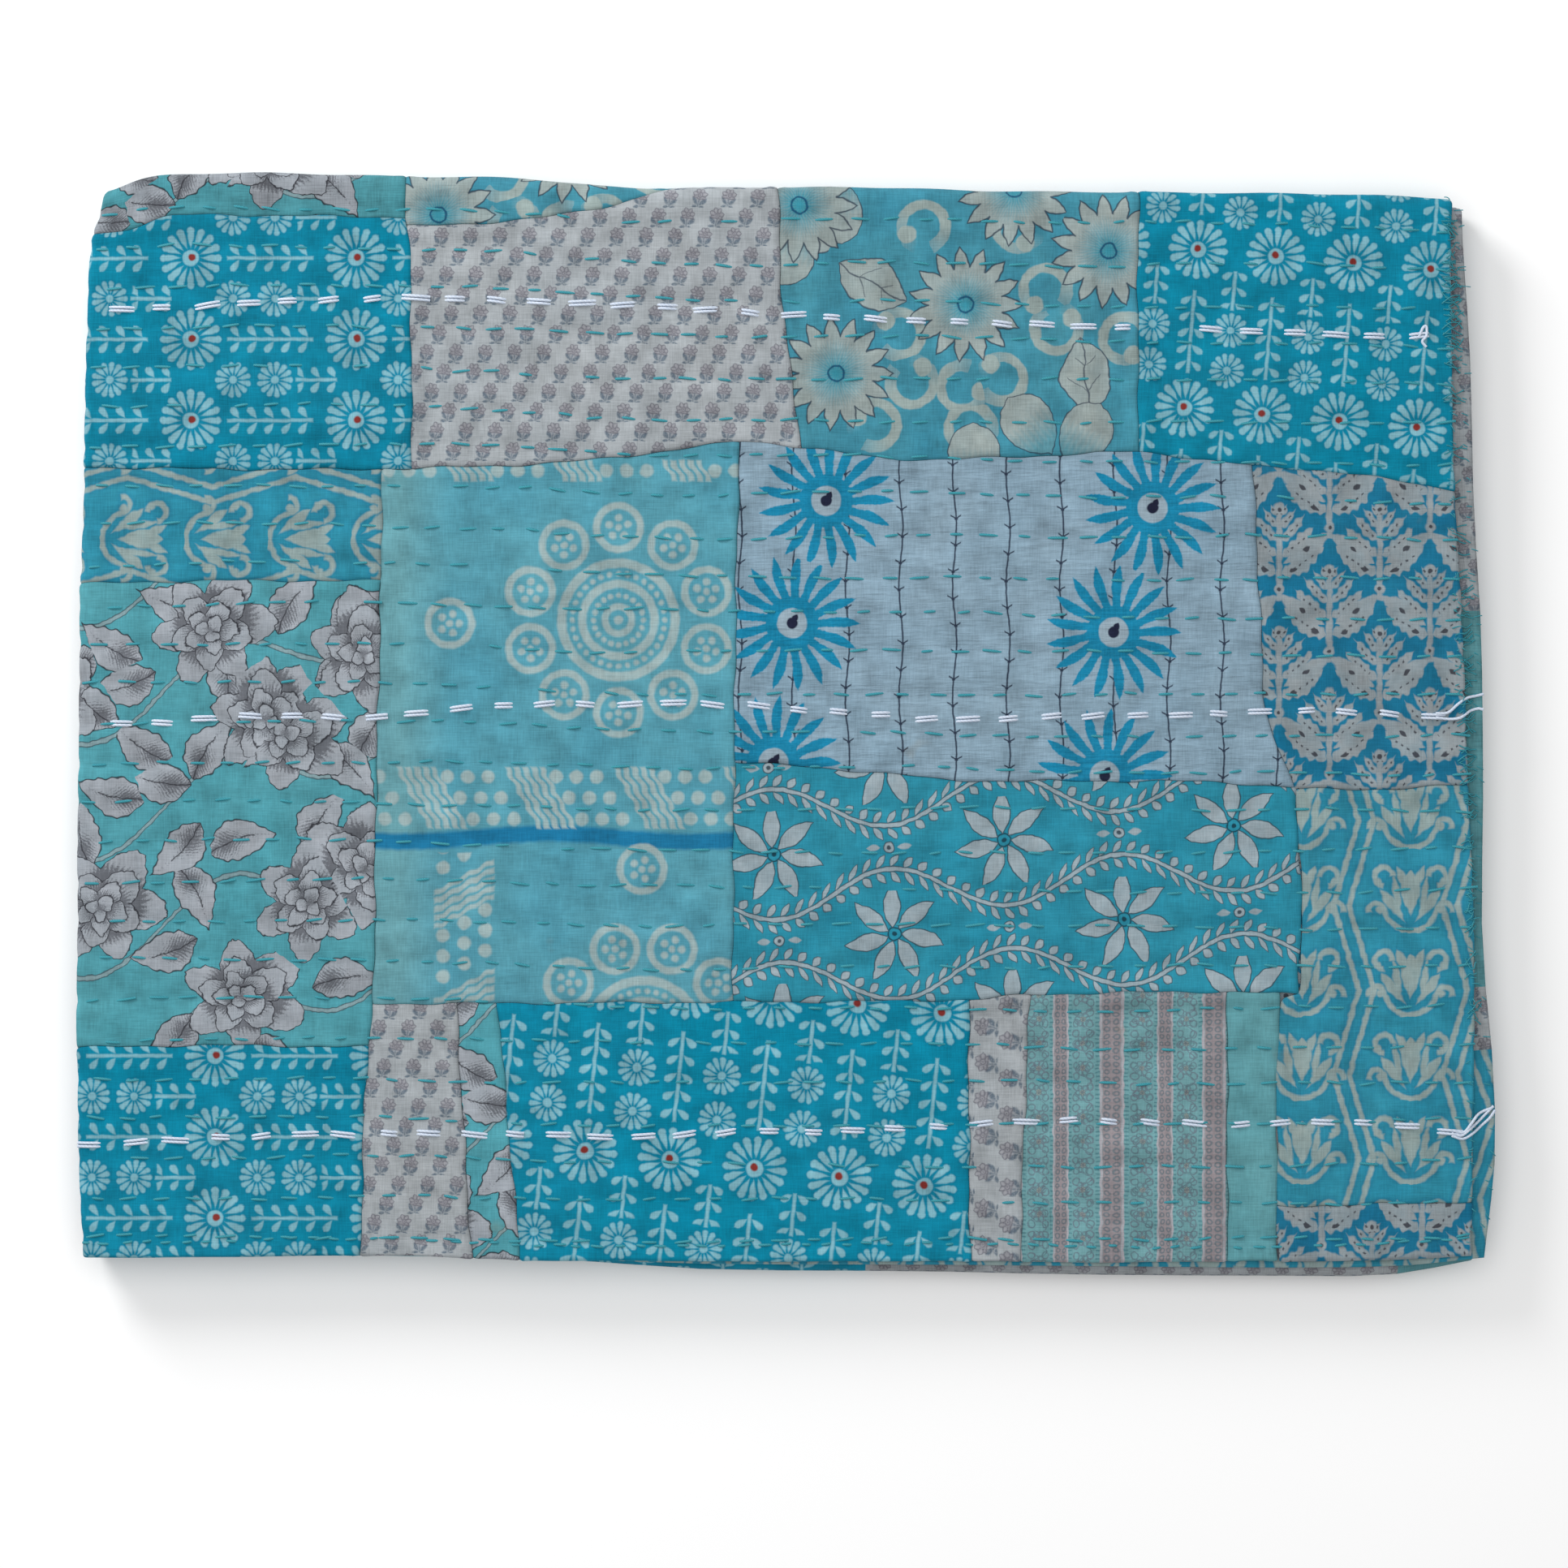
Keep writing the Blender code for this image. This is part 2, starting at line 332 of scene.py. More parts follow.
def relief(cx, cy):
    """How far the quilted face stands above or below its smooth shape."""
    _, _, near_y, far_y = face_limits(cx, cy)
    share = (cy - near_y) / (far_y - near_y)
    row = np.clip(np.round(share * QUILTING_ROWS - 0.5), 0, QUILTING_ROWS - 1)
    miss = (share - row_share(row, cx)) * (far_y - near_y)
    pull = 0.75 + 0.25 * np.cos(math.tau * cx / STITCH_PITCH + 2.1 * row)
    height = -ROW_DEPTH * pull * bell(miss, ROW_SOFTNESS)
    pucker = np.sin(cx / 0.0061 + 1.3 * row) * np.sin(cx / 0.0173 + 3.1 * row)
    height = height + PUCKER * pucker * bell(miss, 2.2 * ROW_SOFTNESS)
    height = height + LOW_SWELL * np.sin(cx / 0.034 + cy / 0.061) * np.sin(cy / 0.027 - cx / 0.09)
    small = np.sin(cx / 0.0117 - cy / 0.031) * np.sin(cy / 0.0093 + cx / 0.04)
    height = height + SMALL_SWELL * small
    for crease in CREASES:
        height = height + crease_height(crease, cx, cy)
    round_turn = np.clip((cy - far_y) / TURN_SWELL_REACH, 0, 1)
    uneven = 0.5 + 0.5 * np.sin(cx / 0.0137) * np.sin(cx / 0.031 + 1.0)
    height = height + TURN_SWELL * uneven * round_turn
    return np.maximum(height, LOWEST)


print("relief near the middle", float(relief(np.array(0.0), np.array(0.0)).round(5)))

# %% [markdown]
# ## Camera, floor and light
#
# The photograph looks straight down on the quilt, which lies a little above the middle of
# the frame, on plain white. The camera stands over that point, and broad soft lamps give the
# even light of a studio, with one from the side so that the quilting shows.

# %% Camera, floor and lights
FRAME_PIXELS = 1932
LENS, SENSOR = 120.0, 36.0
FLOOR_HALF = 3.0
FLOOR_LEVEL = -0.3 * MM  # just below the quilt, so that the two don't share a plane
FLOOR_WHITE = 0.93
SKY_LIGHT = 0.49
view_width = FRAME_PIXELS * PHOTO_PIXEL
camera_height = STACK + view_width * LENS / SENSOR
camera_data = bpy.data.cameras.new("camera")
camera_data.lens, camera_data.sensor_width = LENS, SENSOR
camera = bpy.data.objects.new("camera", camera_data)
camera.location = (float(cloth_x(FRAME_PIXELS / 2)), float(cloth_y(FRAME_PIXELS / 2)), camera_height)
scene.collection.objects.link(camera)
scene.camera = camera
scene.view_settings.view_transform = "Standard"


def new_material(name):
    """A new material, with its node tree and its Principled shader."""
    material = bpy.data.materials.new(name)
    material.use_nodes = True
    shader = material.node_tree.nodes["Principled BSDF"]
    return material, material.node_tree, shader


def add_floor():
    mesh = bpy.data.meshes.new("floor")
    corners = ((-1, -1), (1, -1), (1, 1), (-1, 1))
    places = [(x * FLOOR_HALF, y * FLOOR_HALF, FLOOR_LEVEL) for x, y in corners]
    mesh.from_pydata(places, [], [(0, 1, 2, 3)])
    floor = bpy.data.objects.new("floor", mesh)
    scene.collection.objects.link(floor)
    material, _, shader = new_material("pale_floor")
    shader.inputs["Base Color"].default_value = (FLOOR_WHITE, FLOOR_WHITE, FLOOR_WHITE, 1)
    shader.inputs["Roughness"].default_value = 0.9
    mesh.materials.append(material)


def add_lamp(name, place, size, power):
    """A round soft lamp that shines on the middle of the stack."""
    data = bpy.data.lights.new(name, "AREA")
    data.shape, data.size, data.energy = "DISK", size, power
    lamp = bpy.data.objects.new(name, data)
    lamp.location = place
    lamp.rotation_euler = (-Vector(place)).to_track_quat("-Z", "Y").to_euler()
    scene.collection.objects.link(lamp)


add_floor()
add_lamp("over_lamp", place=(0.0, 0.2, 2.4), size=2.6, power=29)
add_lamp("side_lamp", place=(-1.5, 1.7, 1.1), size=1.1, power=46)
world = bpy.data.worlds.new("soft_world")
world.use_nodes = True
world.node_tree.nodes["Background"].inputs["Color"].default_value = (1, 1, 1, 1)
world.node_tree.nodes["Background"].inputs["Strength"].default_value = SKY_LIGHT
scene.world = world
print("camera stands", round(camera_height, 3), "m up")

# %% [markdown]
# ## Drawing prints with arithmetic
#
# The cottons are block prints: flat ink shapes that repeat. A shape can be drawn without any
# image by asking, at every point of the cloth, how far it is from the shape's edge. `Ink`
# wraps the output of a Math node so that such sums can be written as ordinary Python. The
# drawings are in print units of 0.435 mm, with y up.

# %% Ink: numbers that change over the cloth


def link_or_set(tree, slot, item):
    """Feed a node's input with another node's output or with a plain number or colour."""
    if isinstance(item, Ink):
        item = item.socket
    if isinstance(item, bpy.types.NodeSocket):
        tree.links.new(item, slot)
    else:
        slot.default_value = item


def fill_inputs(tree, node, **inputs):
    """Feed a node's inputs, named with _ for a space, or as in_ and a number."""
    for key, item in inputs.items():
        which = int(key[3:]) if key.startswith("in_") else key.replace("_", " ")
        link_or_set(tree, node.inputs[which], item)


def add_node(tree, kind, settings=None, **inputs):
    """A new node with its settings and its inputs."""
    node = tree.nodes.new(kind)
    for key, setting in (settings or {}).items():
        setattr(node, key, setting)
    fill_inputs(tree, node, **inputs)
    return node


class Ink:
    """The output of a Math node, with plain arithmetic that adds more Math nodes."""

    def __init__(self, tree, socket):
        self.tree, self.socket = tree, socket

    def step(self, kind, *others, clamp=False):
        return math_step(self.tree, kind, self, *others, clamp=clamp)

    def __add__(self, other):
        return self.step("ADD", other)

    __radd__ = __add__

    def __sub__(self, other):
        return self.step("SUBTRACT", other)

    def __rsub__(self, other):
        return math_step(self.tree, "SUBTRACT", other, self)

    def __mul__(self, other):
        return self.step("MULTIPLY", other)

    __rmul__ = __mul__

    def __truediv__(self, other):
        return self.step("DIVIDE", other)

    def __neg__(self):
        return self.step("MULTIPLY", -1.0)

    def __abs__(self):
        return self.step("ABSOLUTE")

    def floor(self):
        return self.step("FLOOR")

    def sine(self):
        return self.step("SINE")

    def cosine(self):
        return self.step("COSINE")

    def wrapped(self, half):
        """The same number brought into the range from -half to half."""
        return self.step("WRAP", half, -half)

    def odd(self):
        """1 for an odd whole number and 0 for an even one."""
        return self - (self * 0.5).floor() * 2.0

    def fill(self, softness=1.3):
        """A mask that is 1 inside a shape, where the distance is negative, and 0 outside."""
        return self.step("MULTIPLY_ADD", -1.0 / softness, 0.5, clamp=True)


def math_step(tree, kind, *items, clamp=False):
    node = tree.nodes.new("ShaderNodeMath")
    node.operation, node.use_clamp = kind, clamp
    for slot, item in zip(node.inputs, items):
        link_or_set(tree, slot, item)
    return Ink(tree, node.outputs[0])


def join(*shapes):
    """The nearest of several shapes: their union."""
    found = shapes[0]
    for shape in shapes[1:]:
        found = found.step("MINIMUM", shape)
    return found


def within(shape, *limits):
    """The part of a shape that also lies inside the limits."""
    for limit in limits:
        shape = shape.step("MAXIMUM", limit)
    return shape


def far(x, y):
    """The distance from the centre."""
    return x.step("MULTIPLY_ADD", x, y * y).step("SQRT")


def lens(x, y, length, half):
    """A leaf from x 0 to its length, with two pointed ends."""
    middle = x.step("MULTIPLY_ADD", 2.0 / length, -1.0)
    return abs(y) + (middle * middle).step("MULTIPLY_ADD", half, -half)


def drop(x, y, start, end, half):
    """A teardrop petal along x, slim at its start and blunt at its end."""
    t = x.step("MULTIPLY_ADD", 1.0 / (end - start), -start / (end - start))
    middle = t.step("MULTIPLY_ADD", 2.0, -1.0)
    body = (middle * middle).step("MULTIPLY_ADD", half, -half)
    return abs(y) + body * t.step("MULTIPLY_ADD", 0.75, 0.5)


def turned(x, y, degrees):
    """Coordinates turned so that x points along a direction."""
    c, s = math.cos(math.radians(degrees)), math.sin(math.radians(degrees))
    return x * c + y * s, y * c - x * s


def around(x, y, count, offset=0.0, twist=None):
    """Coordinates folded so that one petal along x stands for all those round a flower."""
    angle = y.step("ARCTAN2", x) + offset
    radius = far(x, y)
    if twist is not None:
        angle = angle + radius * twist
    folded = angle.wrapped(math.pi / count)
    return radius * folded.cosine(), radius * folded.sine(), radius


print("seen from axes turned by 90 degrees, 1, 0 is", [round(v) for v in turned(1.0, 0.0, 90)])

# %% [markdown]
# ## A group for each printed cloth
#
# Every print is a shader node group: a place on the cloth goes in and a colour comes out.
# `start_print` makes the group and shakes the place a little, because a hand block never
# prints a perfectly clean line.

# %% Helpers for print groups
SHAKE_SCALE = 0.09
MIX_SOCKETS = {"RGBA": (6, 7, 2), "VECTOR": (4, 5, 1)}  # two inputs and the output, by kind
TURN_IN_Z = 0.001  # a spot's turn rides along in z, too small there to change a distance
PRINTS = {}  # the group of each print, by a short name


def dye(code):
    """A colour written as six hexadecimal digits, as the linear numbers a shader needs."""
    parts = [int(code[i : i + 2], 16) / 255 for i in (0, 2, 4)]
    linear = [p / 12.92 if p <= 0.04045 else ((p + 0.055) / 1.055) ** 2.4 for p in parts]
    return (*linear, 1.0)


def vector_step(tree, kind, *items):
    node = tree.nodes.new("ShaderNodeVectorMath")
    node.operation = kind
    slots = [node.inputs[0], node.inputs[1]] if kind != "SCALE" else [node.inputs[0], node.inputs[3]]
    for slot, item in zip(slots, items):
        link_or_set(tree, slot, item)
    return node.outputs["Value"] if kind in {"LENGTH", "DISTANCE"} else node.outputs["Vector"]


def split(tree, vector):
    return [Ink(tree, out) for out in add_node(tree, "ShaderNodeSeparateXYZ", Vector=vector).outputs]


def mix(tree, kind, mask, first, second, blend="MIX"):
    """A Mix node's output: the first thing, and the second one where the mask is 1."""
    node = add_node(tree, "ShaderNodeMix", {"data_type": kind, "blend_type": blend}, Factor=mask)
    first_slot, second_slot, output = MIX_SOCKETS[kind]
    link_or_set(tree, node.inputs[first_slot], first)
    link_or_set(tree, node.inputs[second_slot], second)
    return node.outputs[output]


def paint(tree, under, over, mask):
    """Lay one colour over another through a mask."""
    return mix(tree, "RGBA", mask, under, over)


def noise(tree, place, scale, detail=2.0, colour=False):
    node = add_node(tree, "ShaderNodeTexNoise", Vector=place, Scale=scale, Detail=detail)
    return node.outputs["Color"] if colour else Ink(tree, node.outputs[0])


def shake(tree, place, reach):
    """Move a place about by a soft noise."""
    cloud = noise(tree, place, SHAKE_SCALE, 1.0, colour=True)
    centred = vector_step(tree, "SUBTRACT", cloud, (0.5, 0.5, 0.5))
    return vector_step(tree, "ADD", place, vector_step(tree, "SCALE", centred, 2.0 * reach))


def start_print(name, unevenness=1.4):
    tree = bpy.data.node_groups.new(name, "ShaderNodeTree")
    tree.interface.new_socket("Place", in_out="INPUT", socket_type="NodeSocketVector")
    tree.interface.new_socket("Color", in_out="OUTPUT", socket_type="NodeSocketColor")
    place = tree.nodes.new("NodeGroupInput").outputs["Place"]
    shaken = shake(tree, place, unevenness)
    x, y, _ = split(tree, shaken)
    return tree, shaken, x, y


def end_print(tree, colour):
    add_node(tree, "NodeGroupOutput", Color=colour)
    print(tree.name, "has", len(tree.nodes), "nodes")
    return tree


def nearest(tree, place, spots):
    """Coordinates about the nearest of some spots, and the turn written beside that spot."""
    flat = vector_step(tree, "MULTIPLY", place, (1, 1, 0))
    best = best_gap = None
    for px, py, turn in spots:
        away = vector_step(tree, "SUBTRACT", flat, (px, py, -TURN_IN_Z * turn))
        gap = Ink(tree, vector_step(tree, "LENGTH", away, (0, 0, 0)))
        if best is None:
            best, best_gap = away, gap
        else:
            best = mix(tree, "VECTOR", gap.step("LESS_THAN", best_gap), best, away)
            best_gap = best_gap.step("MINIMUM", gap)
    x, y, turn = split(tree, best)
    return x, y, turn * (math.radians(1.0) / TURN_IN_Z)


def turned_by(x, y, angle):
    """Coordinates turned by an angle that itself changes over the cloth."""
    c, s = angle.cosine(), angle.sine()
    return x * c + y * s, y * c - x * s


print("prints are drawn in units of", PHOTO_PIXEL, "m")

# %% [markdown]
# ## Daisies and sprigs
#
# The brightest turquoise cotton carries rows of big daisies with a dark red eye, joined by
# leafy sprigs, and between these rows, rows of small daisies in pairs. The whole design
# repeats every 204 by 100 units, so wrapping the coordinates draws it everywhere.

# %% Daisy print
DAISY_ACROSS, DAISY_UP = 102, 50  # half of what repeats


def sprig(x, y, half_length, leaf_step, leaf, half):
    """A straight stem with pairs of leaves that lean back along it."""
    stem = within(abs(y) - 2.0, abs(x) - half_length)
    local = x.wrapped(leaf_step / 2)
    p, q = turned(local - 4.0, abs(y) - 3.0, 128)
    leaves = join(drop(p, q, 0.0, leaf, half), far(p - 0.7 * leaf, q) - half * 0.95)
    return join(stem, within(leaves, abs(x) - (half_length - 2.0)))


def daisy_print():
    tree, place, x, y = start_print("daisy print")
    cell_x, cell_y = x.wrapped(DAISY_ACROSS), y.wrapped(DAISY_UP)
    p, q, radius = around(cell_x, cell_y, 16)
    flowers = join(drop(p, q, 13.5, 38.5, 4.2), far(p - 33.5, q) - 4.4, radius - 10.0)
    long_sprig = sprig((x - 98).wrapped(DAISY_ACROSS), cell_y, 53, 21.0, 17, 4.3)
    between_y = (y - DAISY_UP).wrapped(DAISY_UP)
    pair_x = abs((x - 78).wrapped(DAISY_ACROSS)) - 26
    p, q, small_radius = around(pair_x, between_y, 13)
    small = join(drop(p, q, 7, 22, 3.0), far(p - 19, q) - 3.2, small_radius - 5)
    short_sprig = sprig((x - 155).wrapped(DAISY_ACROSS), between_y, 25, 20, 16, 4.2)
    cream = join(flowers, long_sprig, small, short_sprig).fill(2.0)
    eye = (far(cell_x - 1.5, cell_y - 1.0) - 4.6).fill(2.0)
    mottle = noise(tree, place, 0.02, 3)
    ground = paint(tree, dye("0093B8"), dye("00A6C8"), mottle)
    rim = (join(flowers, small) - 2.0).fill(3.0) * 0.3
    ground = paint(tree, ground, dye("0083AC"), rim)
    colour = paint(tree, ground, paint(tree, dye("A4DEEC"), dye("8ACFE2"), mottle), cream)
    return end_print(tree, paint(tree, colour, dye("9C3A34"), eye))


PRINTS["daisy"] = daisy_print()

# %% [markdown]
# ## Small mauve buds
#
# A quiet cotton, pale grey with a little bud every 36 units. Every other row is set over by
# half a step, and all drift a little to one side. The bud is a scalloped head with a curl in
# it, on a stem with two pairs of blue-grey leaves, all in thin and partly worn ink.

# %% Bud print
BUD_STEP, BUD_ROW, BUD_DRIFT = 36.0, 24.0, 3.0


def bud_print():
    tree, place, x, y = start_print("bud print", 2.0)
    row = (y / BUD_ROW).floor()
    cell_y = y - row * BUD_ROW - BUD_ROW / 2
    cell_x = (x + row.odd() * (BUD_STEP / 2) + row * BUD_DRIFT).wrapped(BUD_STEP / 2)
    cell_x, cell_y = turned(cell_x, cell_y, -10)
    p, q, radius = around(cell_x, cell_y - 3.0, 7, offset=math.pi / 2)
    head = join(lens(p - 2.5, q, 6.6, 2.5), radius - 4.0)
    head = within(head, -cell_y - 1.0)
    curl = within(abs(far(cell_x - 0.6, cell_y - 3.4) - 2.5) - 0.6, cell_x - cell_y - 1.5)
    stem = within(abs(cell_x) - 0.9, abs(cell_y + 6.5) - 4.5)
    side = abs(cell_x)
    leaves = join(
        lens(*turned(side - 1.0, cell_y + 9.0, 48), 11.5, 2.5),
        lens(*turned(side - 1.0, cell_y + 10.5, -14), 7.5, 1.9),
    )
    speckle = noise(tree, place, 0.5, 2)
    worn = 1.0 - (0.62 - speckle).fill(0.3) * 0.6
    mottle = noise(tree, place, 0.008, 3)
    ground = paint(tree, dye("BFC9D0"), dye("D0D5D8"), mottle)
    colour = paint(tree, ground, dye("A9A2AD"), (far(cell_x, cell_y - 2.0) - 8.0).fill(4.0) * 0.25)
    colour = paint(tree, colour, dye("5A7186"), join(leaves, stem).fill(2.0) * 0.8 * worn)
    colour = paint(tree, colour, dye("9D8F9C"), head.fill(2.0) * 0.25)
    lines = join(abs(head) - 0.7, curl, far(cell_x - 0.6, cell_y - 3.4) - 0.8)
    return end_print(tree, paint(tree, colour, dye("646272"), lines.fill(1.6) * 0.75 * worn))


PRINTS["bud"] = bud_print()

# %% [markdown]
# ## Sunflowers and scrolls
#
# Big cream flowers with pointed petals and a fine dark line round them, soft blue at their
# hearts, among fat cream curls, half-open blooms and a few veined leaves. They sit where they
# should be seen, so their places are listed, each with x, y and a turn in degrees, and
# `nearest` lets one drawing serve them all.

# %% Sunflower print
SUNFLOWERS = ((0, 0, 0), (-160, -85, 0), (176, 66, 0), (60, 142, 0), (-205, 122, 0), (-555, 112, 0))
CURLS = (
    (-52, 96, 110), (64, 96, 200), (-66, -96, 320), (44, -92, 30), (-4, -102, 250),
    (-82, -36, 40), (98, 18, 140), (112, -30, 300), (6, -152, 160), (196, -42, 200),
    (-112, -148, 60), (-470, 118, 30), (-620, 140, 210), (-380, 140, 120), (-300, 60, 0),
)
BIG_LEAVES = ((-150, 46, 330), (-196, 66, 60), (152, -128, 96), (-470, 60, 30))
BLOOMS = ((80, -150, 128), (146, -162, 62), (10, -190, 90), (-216, 66, 250), (-160, 118, 280))


def veined_leaf(x, y, length, half, step):
    """A leaf's shape, with the lines of its edge, its rib and its side veins."""
    shape = lens(x, y, length, half)
    rib = within(abs(y) - 0.9, shape)
    slant = (x - abs(y) * 0.9).wrapped(step / 2)
    veins = within(abs(slant) - 0.6, shape + half * 0.35)
    return shape, join(abs(shape) - 1.0, rib, veins)


def sunflower_print():
    tree, place, _, _ = start_print("sunflower print", 2.2)
    ground = paint(tree, dye("3FA6C8"), dye("66BED0"), noise(tree, place, 0.012, 3))
    cx, cy, spin = nearest(tree, place, CURLS)
    px, py = turned_by(cx, cy, spin)
    angle = py.step("ARCTAN2", px)
    hook = within(abs(far(px, py) - 27.0) - 5.6 - abs(angle) * 0.6, angle - 1.5, -angle - 2.9)
    ball = far(px + 2.0, py - 23.0) - 11.5
    colour = paint(tree, ground, dye("BFD3D0"), join(hook, ball).fill(2.0))
    cream = paint(tree, dye("C8D2CC"), dye("B4CCD0"), noise(tree, place, 0.03, 3))
    lx, ly, spin = nearest(tree, place, BIG_LEAVES)
    p, q = turned_by(lx, ly, spin)
    leaf, leaf_lines = veined_leaf(p + 8, q + (p * 0.12).sine() * 2.0, 96, 31, 30.0)
    colour = paint(tree, colour, cream, leaf.fill(1.5))
    colour = paint(tree, colour, dye("38455E"), leaf_lines.fill(1.3) * 0.8)
    bx, by, spin = nearest(tree, place, BLOOMS)
    p, q = turned_by(bx, by, spin)
    bloom = drop(p, q, -48, 46, 36.0) + (q * 0.16).cosine() * 2.6
    root = (p + 8.0 + (q * 0.9).sine() * 3.0).fill(40)
    colour = paint(tree, colour, paint(tree, cream, dye("5FB4C8"), root * 0.85), bloom.fill(1.5))
    colour = paint(tree, colour, dye("38455E"), (abs(bloom) - 1.0).fill(1.3) * 0.8)
    fx, fy, _ = nearest(tree, place, SUNFLOWERS)
    p, q, radius = around(fx, fy, 15)
    reach = (p - 44.0) * (1.0 / 27)
    petals = join(within(abs(q) + reach * abs(reach) * 9.6 - 9.6, 40.0 - p), radius - 46)
    streaks = (q * 1.9).sine() * 4.0
    heart = (radius - 24 + streaks).fill(36)
    colour = paint(tree, colour, paint(tree, cream, dye("48AFC6"), heart), petals.fill(1.5))
    colour = paint(tree, colour, dye("33425A"), (abs(petals) - 1.0).fill(1.3) * 0.85)
    return end_print(tree, paint(tree, colour, dye("24668C"), (abs(radius - 9.5) - 1.2).fill(1.5)))


PRINTS["sunflower"] = sunflower_print()

# %% [markdown]
# ## Tulip border
#
# A border cloth: double lines that zigzag gently, with a chain of tulips between them. The
# tulips point along the border, every 103 units, and each has two curled leaves and a swag
# below it. One half is drawn, and abs() of the place across mirrors it.

# %% Tulip border print
TULIP_LANE, TULIP_STEP = 134.0, 103.0


def tulip_print():
    tree, place, x, y = start_print("tulip border print", 2.6)
    lane = (x - 70.0).wrapped(TULIP_LANE / 2)
    step = (y + 8.0).wrapped(TULIP_STEP / 2)
    side = abs(lane)
    wave = (abs((y + 26.0).wrapped(104)) - 52.0) * 0.3
    line_x = (x - wave).wrapped(TULIP_LANE / 2)
    lines = abs(abs(line_x) - 9.5) - 3.4
    bud = join(drop(step + 30.0, lane, 0.0, 56.0, 13.0), far(lane, step - 8.0) - 12.0)
    crown = lens(*turned(side - 3.0, step - 2.0, 64), 32, 5.5)
    blade = drop(*turned(side - 7.0, step + 36.0, 52), 0.0, 48.0, 7.0)
    blade = within(blade, 3.2 - bud)
    curl = within(abs(far(side - 33.0, step - 18.0) - 11.0) - 3.3, -within(side - 33.0, step - 18.0))
    tip = far(side - 41.0, step - 12.0) - 5.0
    root = lens(*turned(side - 13.0, step + 26.0, 80), 46, 4.4)
    swag = within(abs(far(lane, step + 16.0) - 33.0) - 3.2, step + 24.0)
    hook = within(abs(far(side - 42.0, step + 24.0) - 9.5) - 3.3, -step - 26.0)
    knob = far(side - 37.5, step + 23.0) - 5.0
    strokes = lens(*turned(side - 4.0, step + 54.0, 42), 22, 3.4)
    chain = join(bud, crown, blade, curl, tip, root, swag, hook, knob, strokes)
    ground = paint(tree, dye("259DC0"), dye("45B2CB"), noise(tree, place, 0.014, 3))
    cream = paint(tree, dye("BBCBC6"), dye("A2C1C4"), noise(tree, place, 0.05, 2))
    colour = paint(tree, ground, dye("2388B4"), (join(chain, lines) - 3.5).fill(5.0) * 0.35)
    return end_print(tree, paint(tree, colour, cream, join(chain, lines).fill(2.6)))


PRINTS["tulip"] = tulip_print()

# %% [markdown]
# ## Outlined peonies
#
# Grey-white flowers and leaves on light turquoise, drawn with thin dark lines and shaded with
# fine strokes as an engraving is. A peony is four rings of pointed petals, one on another.
# The angle round the flower, wrapped by the number of petals, gives each ring its ridges,
# noise makes the edges ragged, and the strokes show most near the foot of each petal.

# %% Peony print
PetalRing = namedtuple("PetalRing", "count size bulge shift inner")
PETAL_RINGS = (
    PetalRing(6, 84, 33, 0.2, 51),
    PetalRing(5, 58, 23, 0.9, 33),
    PetalRing(5, 38, 15, 0.4, 18),
    PetalRing(3, 20, 9, 1.3, 4),
)
PEONIES = (
    (0, 0, 0), (-92, 128, 40), (-22, 18, 80), (-55, -322, 10), (30, -208, 60), (100, -168, 120),
    (-228, -215, 30), (98, 98, 75), (-230, 590, 20), (-140, 640, 60), (-310, 40, 10),
)
PEONY_LEAVES = (
    (-190, 60, 200), (-208, 102, 150), (-130, 158, 170), (6, 158, 60), (-235, 30, 140),
    (78, -36, 320), (70, 78, 20), (-150, -60, 170), (-98, -22, 60), (-122, -140, 230),
    (-110, -190, 300), (-60, -130, 20), (-205, -78, 170), (-140, -268, 200), (-132, -375, 230),
    (-20, -395, 320), (70, -300, 10), (40, -110, 60), (-170, -20, 150), (-250, -130, 100),
    (-70, 70, 90), (84, 150, 40), (-258, 84, 200), (-60, 655, 20), (-250, 640, 190),
    (60, 640, 340), (104, 0, 60),
)


